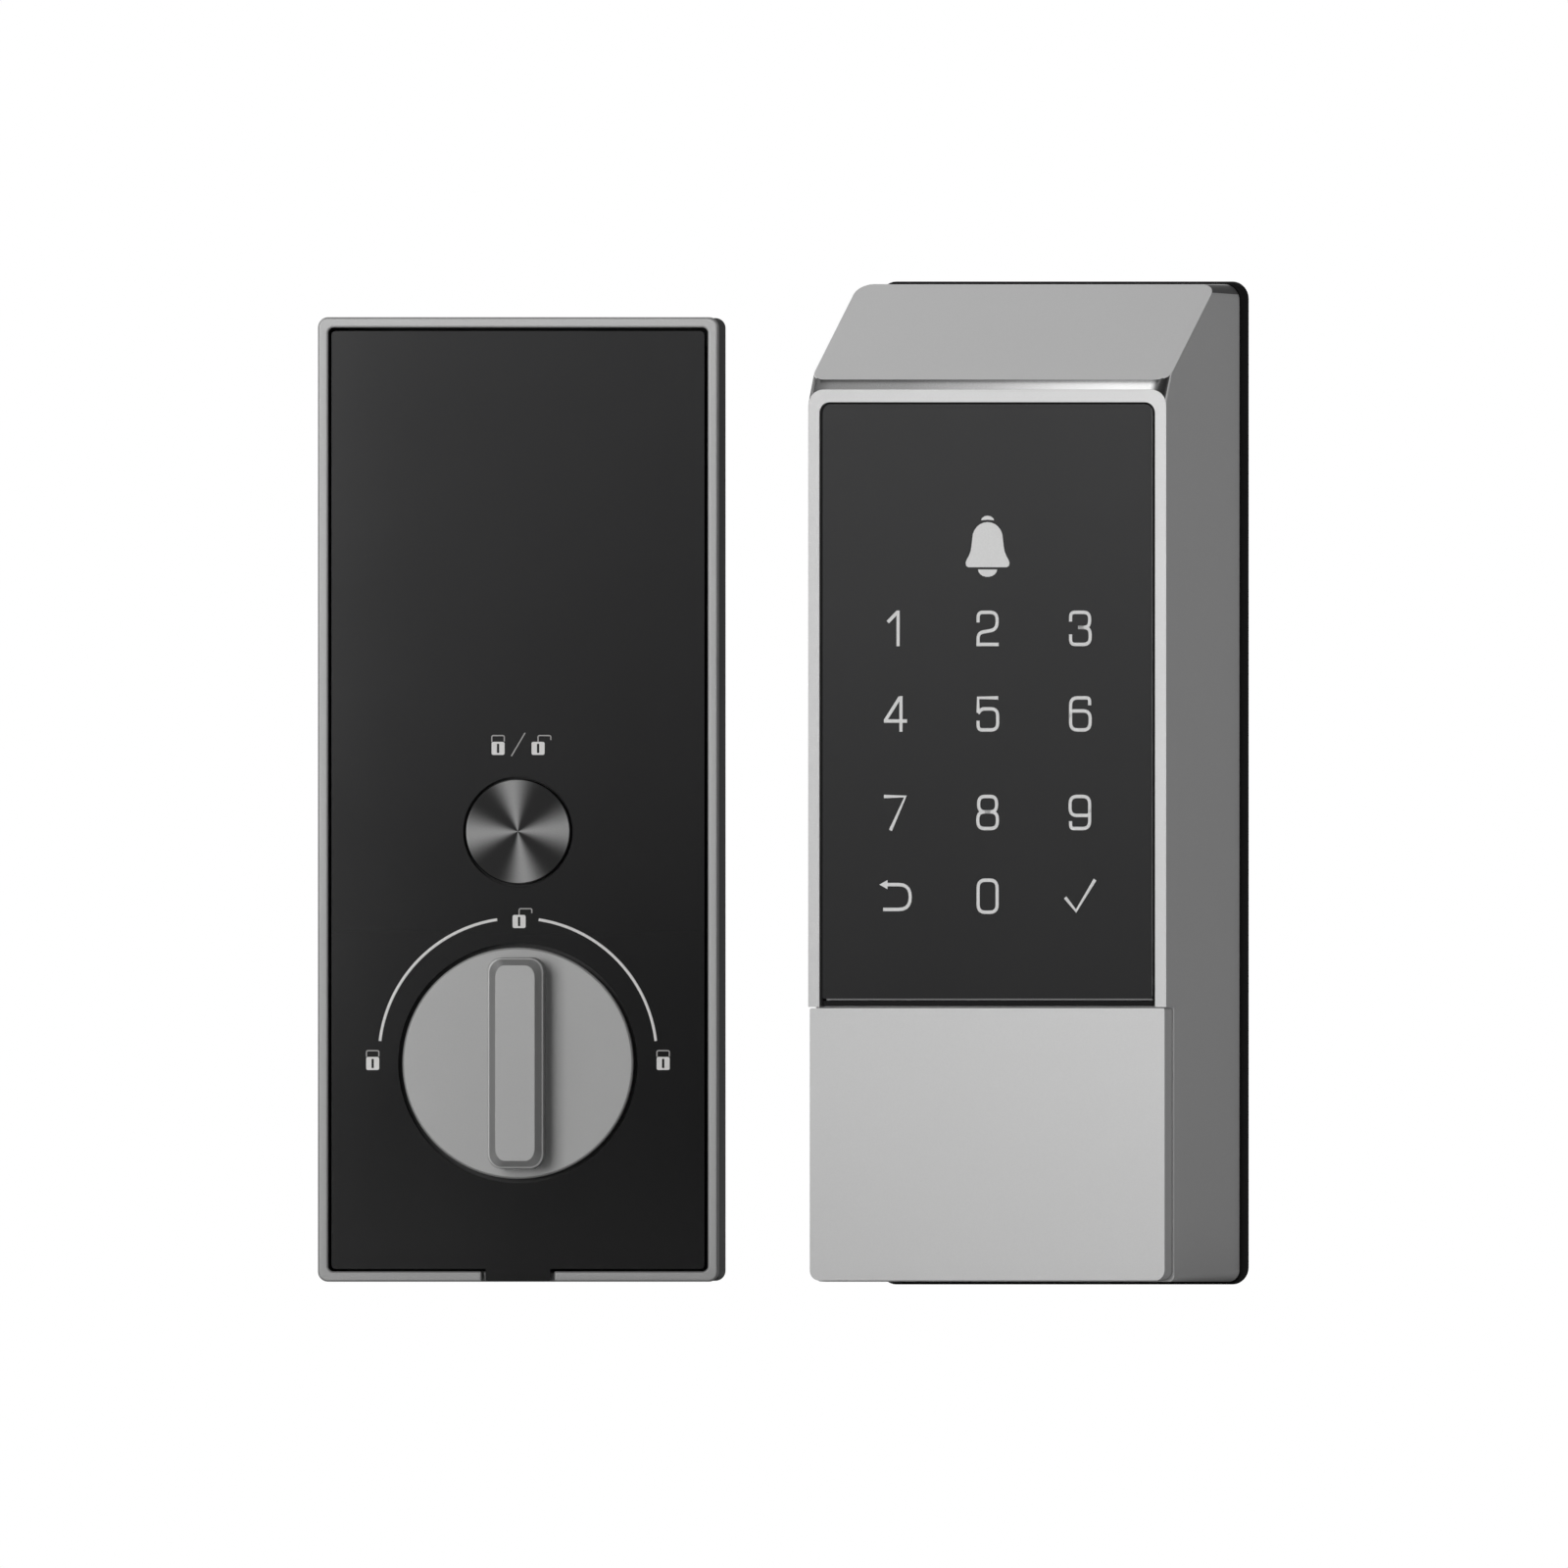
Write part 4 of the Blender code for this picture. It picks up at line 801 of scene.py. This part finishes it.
bpy.ops.mesh.select_all(action="DESELECT")
bpy.ops.object.mode_set(mode="OBJECT")
for face in grip.data.polygons:
    face.select = face.center.y < (GRIP_STEP + 0.1) * MM
bpy.ops.object.mode_set(mode="EDIT")
for size, next_size, depth, step in (
    (GRIP_SIZE, STEP_SIZE, 0, 0),
    (STEP_SIZE, FACE_SIZE, GRIP_TOP, GRIP_TOP - GRIP_STEP),
):
    shrink = (next_size[0] / size[0], 1, next_size[1] / size[1])
    bpy.ops.mesh.extrude_region_move(TRANSFORM_OT_translate={"value": (0, step * MM, 0)})
    bpy.ops.transform.resize(value=shrink, center_override=(0, depth * MM, 0))
bpy.ops.object.mode_set(mode="OBJECT")
join(knob, grip)
soften(knob, 0.1, 2)
fit(knob, "thumb_turn", satin_metal, "thumb_turn", place=unit)

# The push button is a gunmetal cap with a spun face. On the real one light lies in four rays: here the rays
# are a painted reflection, in two pairs across its centre.
spun_metal_painted_rays = surface(
    "dark_metal", (0.125, 0.125, 0.125), 0.35, metal=0.9, grain=0.2, mottle=0.04, relief=0.002
)
tree = spun_metal_painted_rays.node_tree
centre, parts = tree.nodes.new("ShaderNodeMapping"), tree.nodes.new("ShaderNodeSeparateXYZ")
centre.vector_type = "TEXTURE"
centre.inputs["Location"].default_value = (*unit.translation[:2], BUTTON_Z * MM)
centre.inputs["Rotation"].default_value = (0, 0, turn)


def sum_up(operation, first, second=0.0):
    """A step of arithmetic in the finish: each value is a socket or a number."""
    step = tree.nodes.new("ShaderNodeMath")
    step.operation = operation
    for socket, value in zip(step.inputs, (first, second)):
        if isinstance(value, float):
            socket.default_value = value
        else:
            tree.links.new(value, socket)
    return step.outputs[0]


place = next(node for node in tree.nodes if node.type == "TEX_COORD")
tree.links.new(place.outputs["Object"], centre.inputs["Vector"])
tree.links.new(centre.outputs["Vector"], parts.inputs[0])
round_it = sum_up("ARCTAN2", parts.outputs[2], parts.outputs[0])
# Painted reflection: the rays of light on the spun face are drawn into its colour.
rays = []
for ray, sharpness in ((3.0, 3.6), (98.0, 5.5)):  # a pair of rays lies this way, in degrees
    swing = sum_up("MULTIPLY", sum_up("SUBTRACT", round_it, math.radians(ray)), 2.0)
    rays.append(sum_up("POWER", sum_up("MAXIMUM", sum_up("COSINE", swing), 0.0), sharpness))
gleam = sum_up("ADD", sum_up("MULTIPLY", sum_up("ADD", *rays), 0.93), 0.06)
shade_by(spun_metal_painted_rays, gleam)
cap = [(8.7, -24.1), (8.85, -23.95), (8.85, -21.9), (7.4, -21.9), (7.4, -18.0)]
stem = [(6.4, -18.0), (6.4, -21.2), (1.5, -21.2), (1.5, -19.55)]
button = turned("push_button", cap + stem, 0, BUTTON_Z, 96)
soften(button, 0.08, 2)
fit(button, "lock_button", spun_metal_painted_rays, "lock_button", place=unit)

# Behind the panel: the black chassis plate with its four screws, and the battery tray with four cells that
# lie head to tail between spring contacts.
chassis = prism("chassis", rounded(-31.3, 31.3, -34.3, 57.6, 1.0), -20.8, -19.2)
cut(chassis, turned("bush_hole", [(10.2, -23), (10.2, -17)]))
cut(chassis, turned("switch_hole", [(7.8, -23), (7.8, -17)], 0, BUTTON_Z))
soften(chassis, 0.15, 2)
fit(chassis, "interior_unit", black_plastic, "chassis_plate", place=unit)
for number, (x, z) in enumerate(CHASSIS_SPOTS, 1):
    made = screw(f"panhead_{number}", x, z, -21.1, -1, 2.3, 1.1, 9.0, 0.8)
    fit(made, "interior_unit", zinc_steel, f"chassis_screw_{number}", place=unit)
for name in ("minus", "plus", "lower", "upper_left", "upper_right"):
    paint(zinc_steel, f"battery_contact_{name}")
paint(black_plastic, "battery_tray")
LABEL = {"grain": 8.0, "relief": 0.0, "coat": 0.3}
cell_sleeve = surface("battery_label", (0.035, 0.036, 0.04), 0.25, mottle=0.1, **LABEL)
cell_band = surface("battery_label", (0.55, 0.30, 0.12), 0.3, metal=0.6, mottle=0.06, **LABEL)
CELL_LENGTH, CELL_PITCH, CELL_DEPTH = 50.5, 14.8, -14.4
TIP_UP, TIP_DOWN = 117.0, 61.5  # the height of a cell's tip, where it points up or down
can = [(6.5, 0.0), (7.1, 0.5), (7.1, 48.6), (6.4, 49.0), (2.75, 49.0), (2.75, 50.3), (2.5, CELL_LENGTH)]
sleeve = [(6.9, 0.35), (7.25, 0.6), (7.25, 36.0), (7.1, 36.1)]
band = [(7.1, 35.9), (7.25, 36.0), (7.25, 48.4), (6.9, 48.7)]
layers = (("can", can, zinc_steel), ("sleeve", sleeve, cell_sleeve), ("band", band, cell_band))
for number in range(4):
    x = (number - 1.5) * CELL_PITCH
    way, tip = (1, TIP_UP) if number % 2 == 0 else (-1, TIP_DOWN)
    foot = tip - way * CELL_LENGTH
    for name, profile, skin in layers:
        lengths = [(radius, foot + way * length) for radius, length in profile]
        made = turned(f"cell_{name}_{number + 1}", lengths, x, CELL_DEPTH, 48, "Z")
        soften(made, 0)
        stands_for = [f"battery_{number + 1}"] if name == "can" else []
        fit(made, "interior_unit", skin, *stands_for, place=unit)
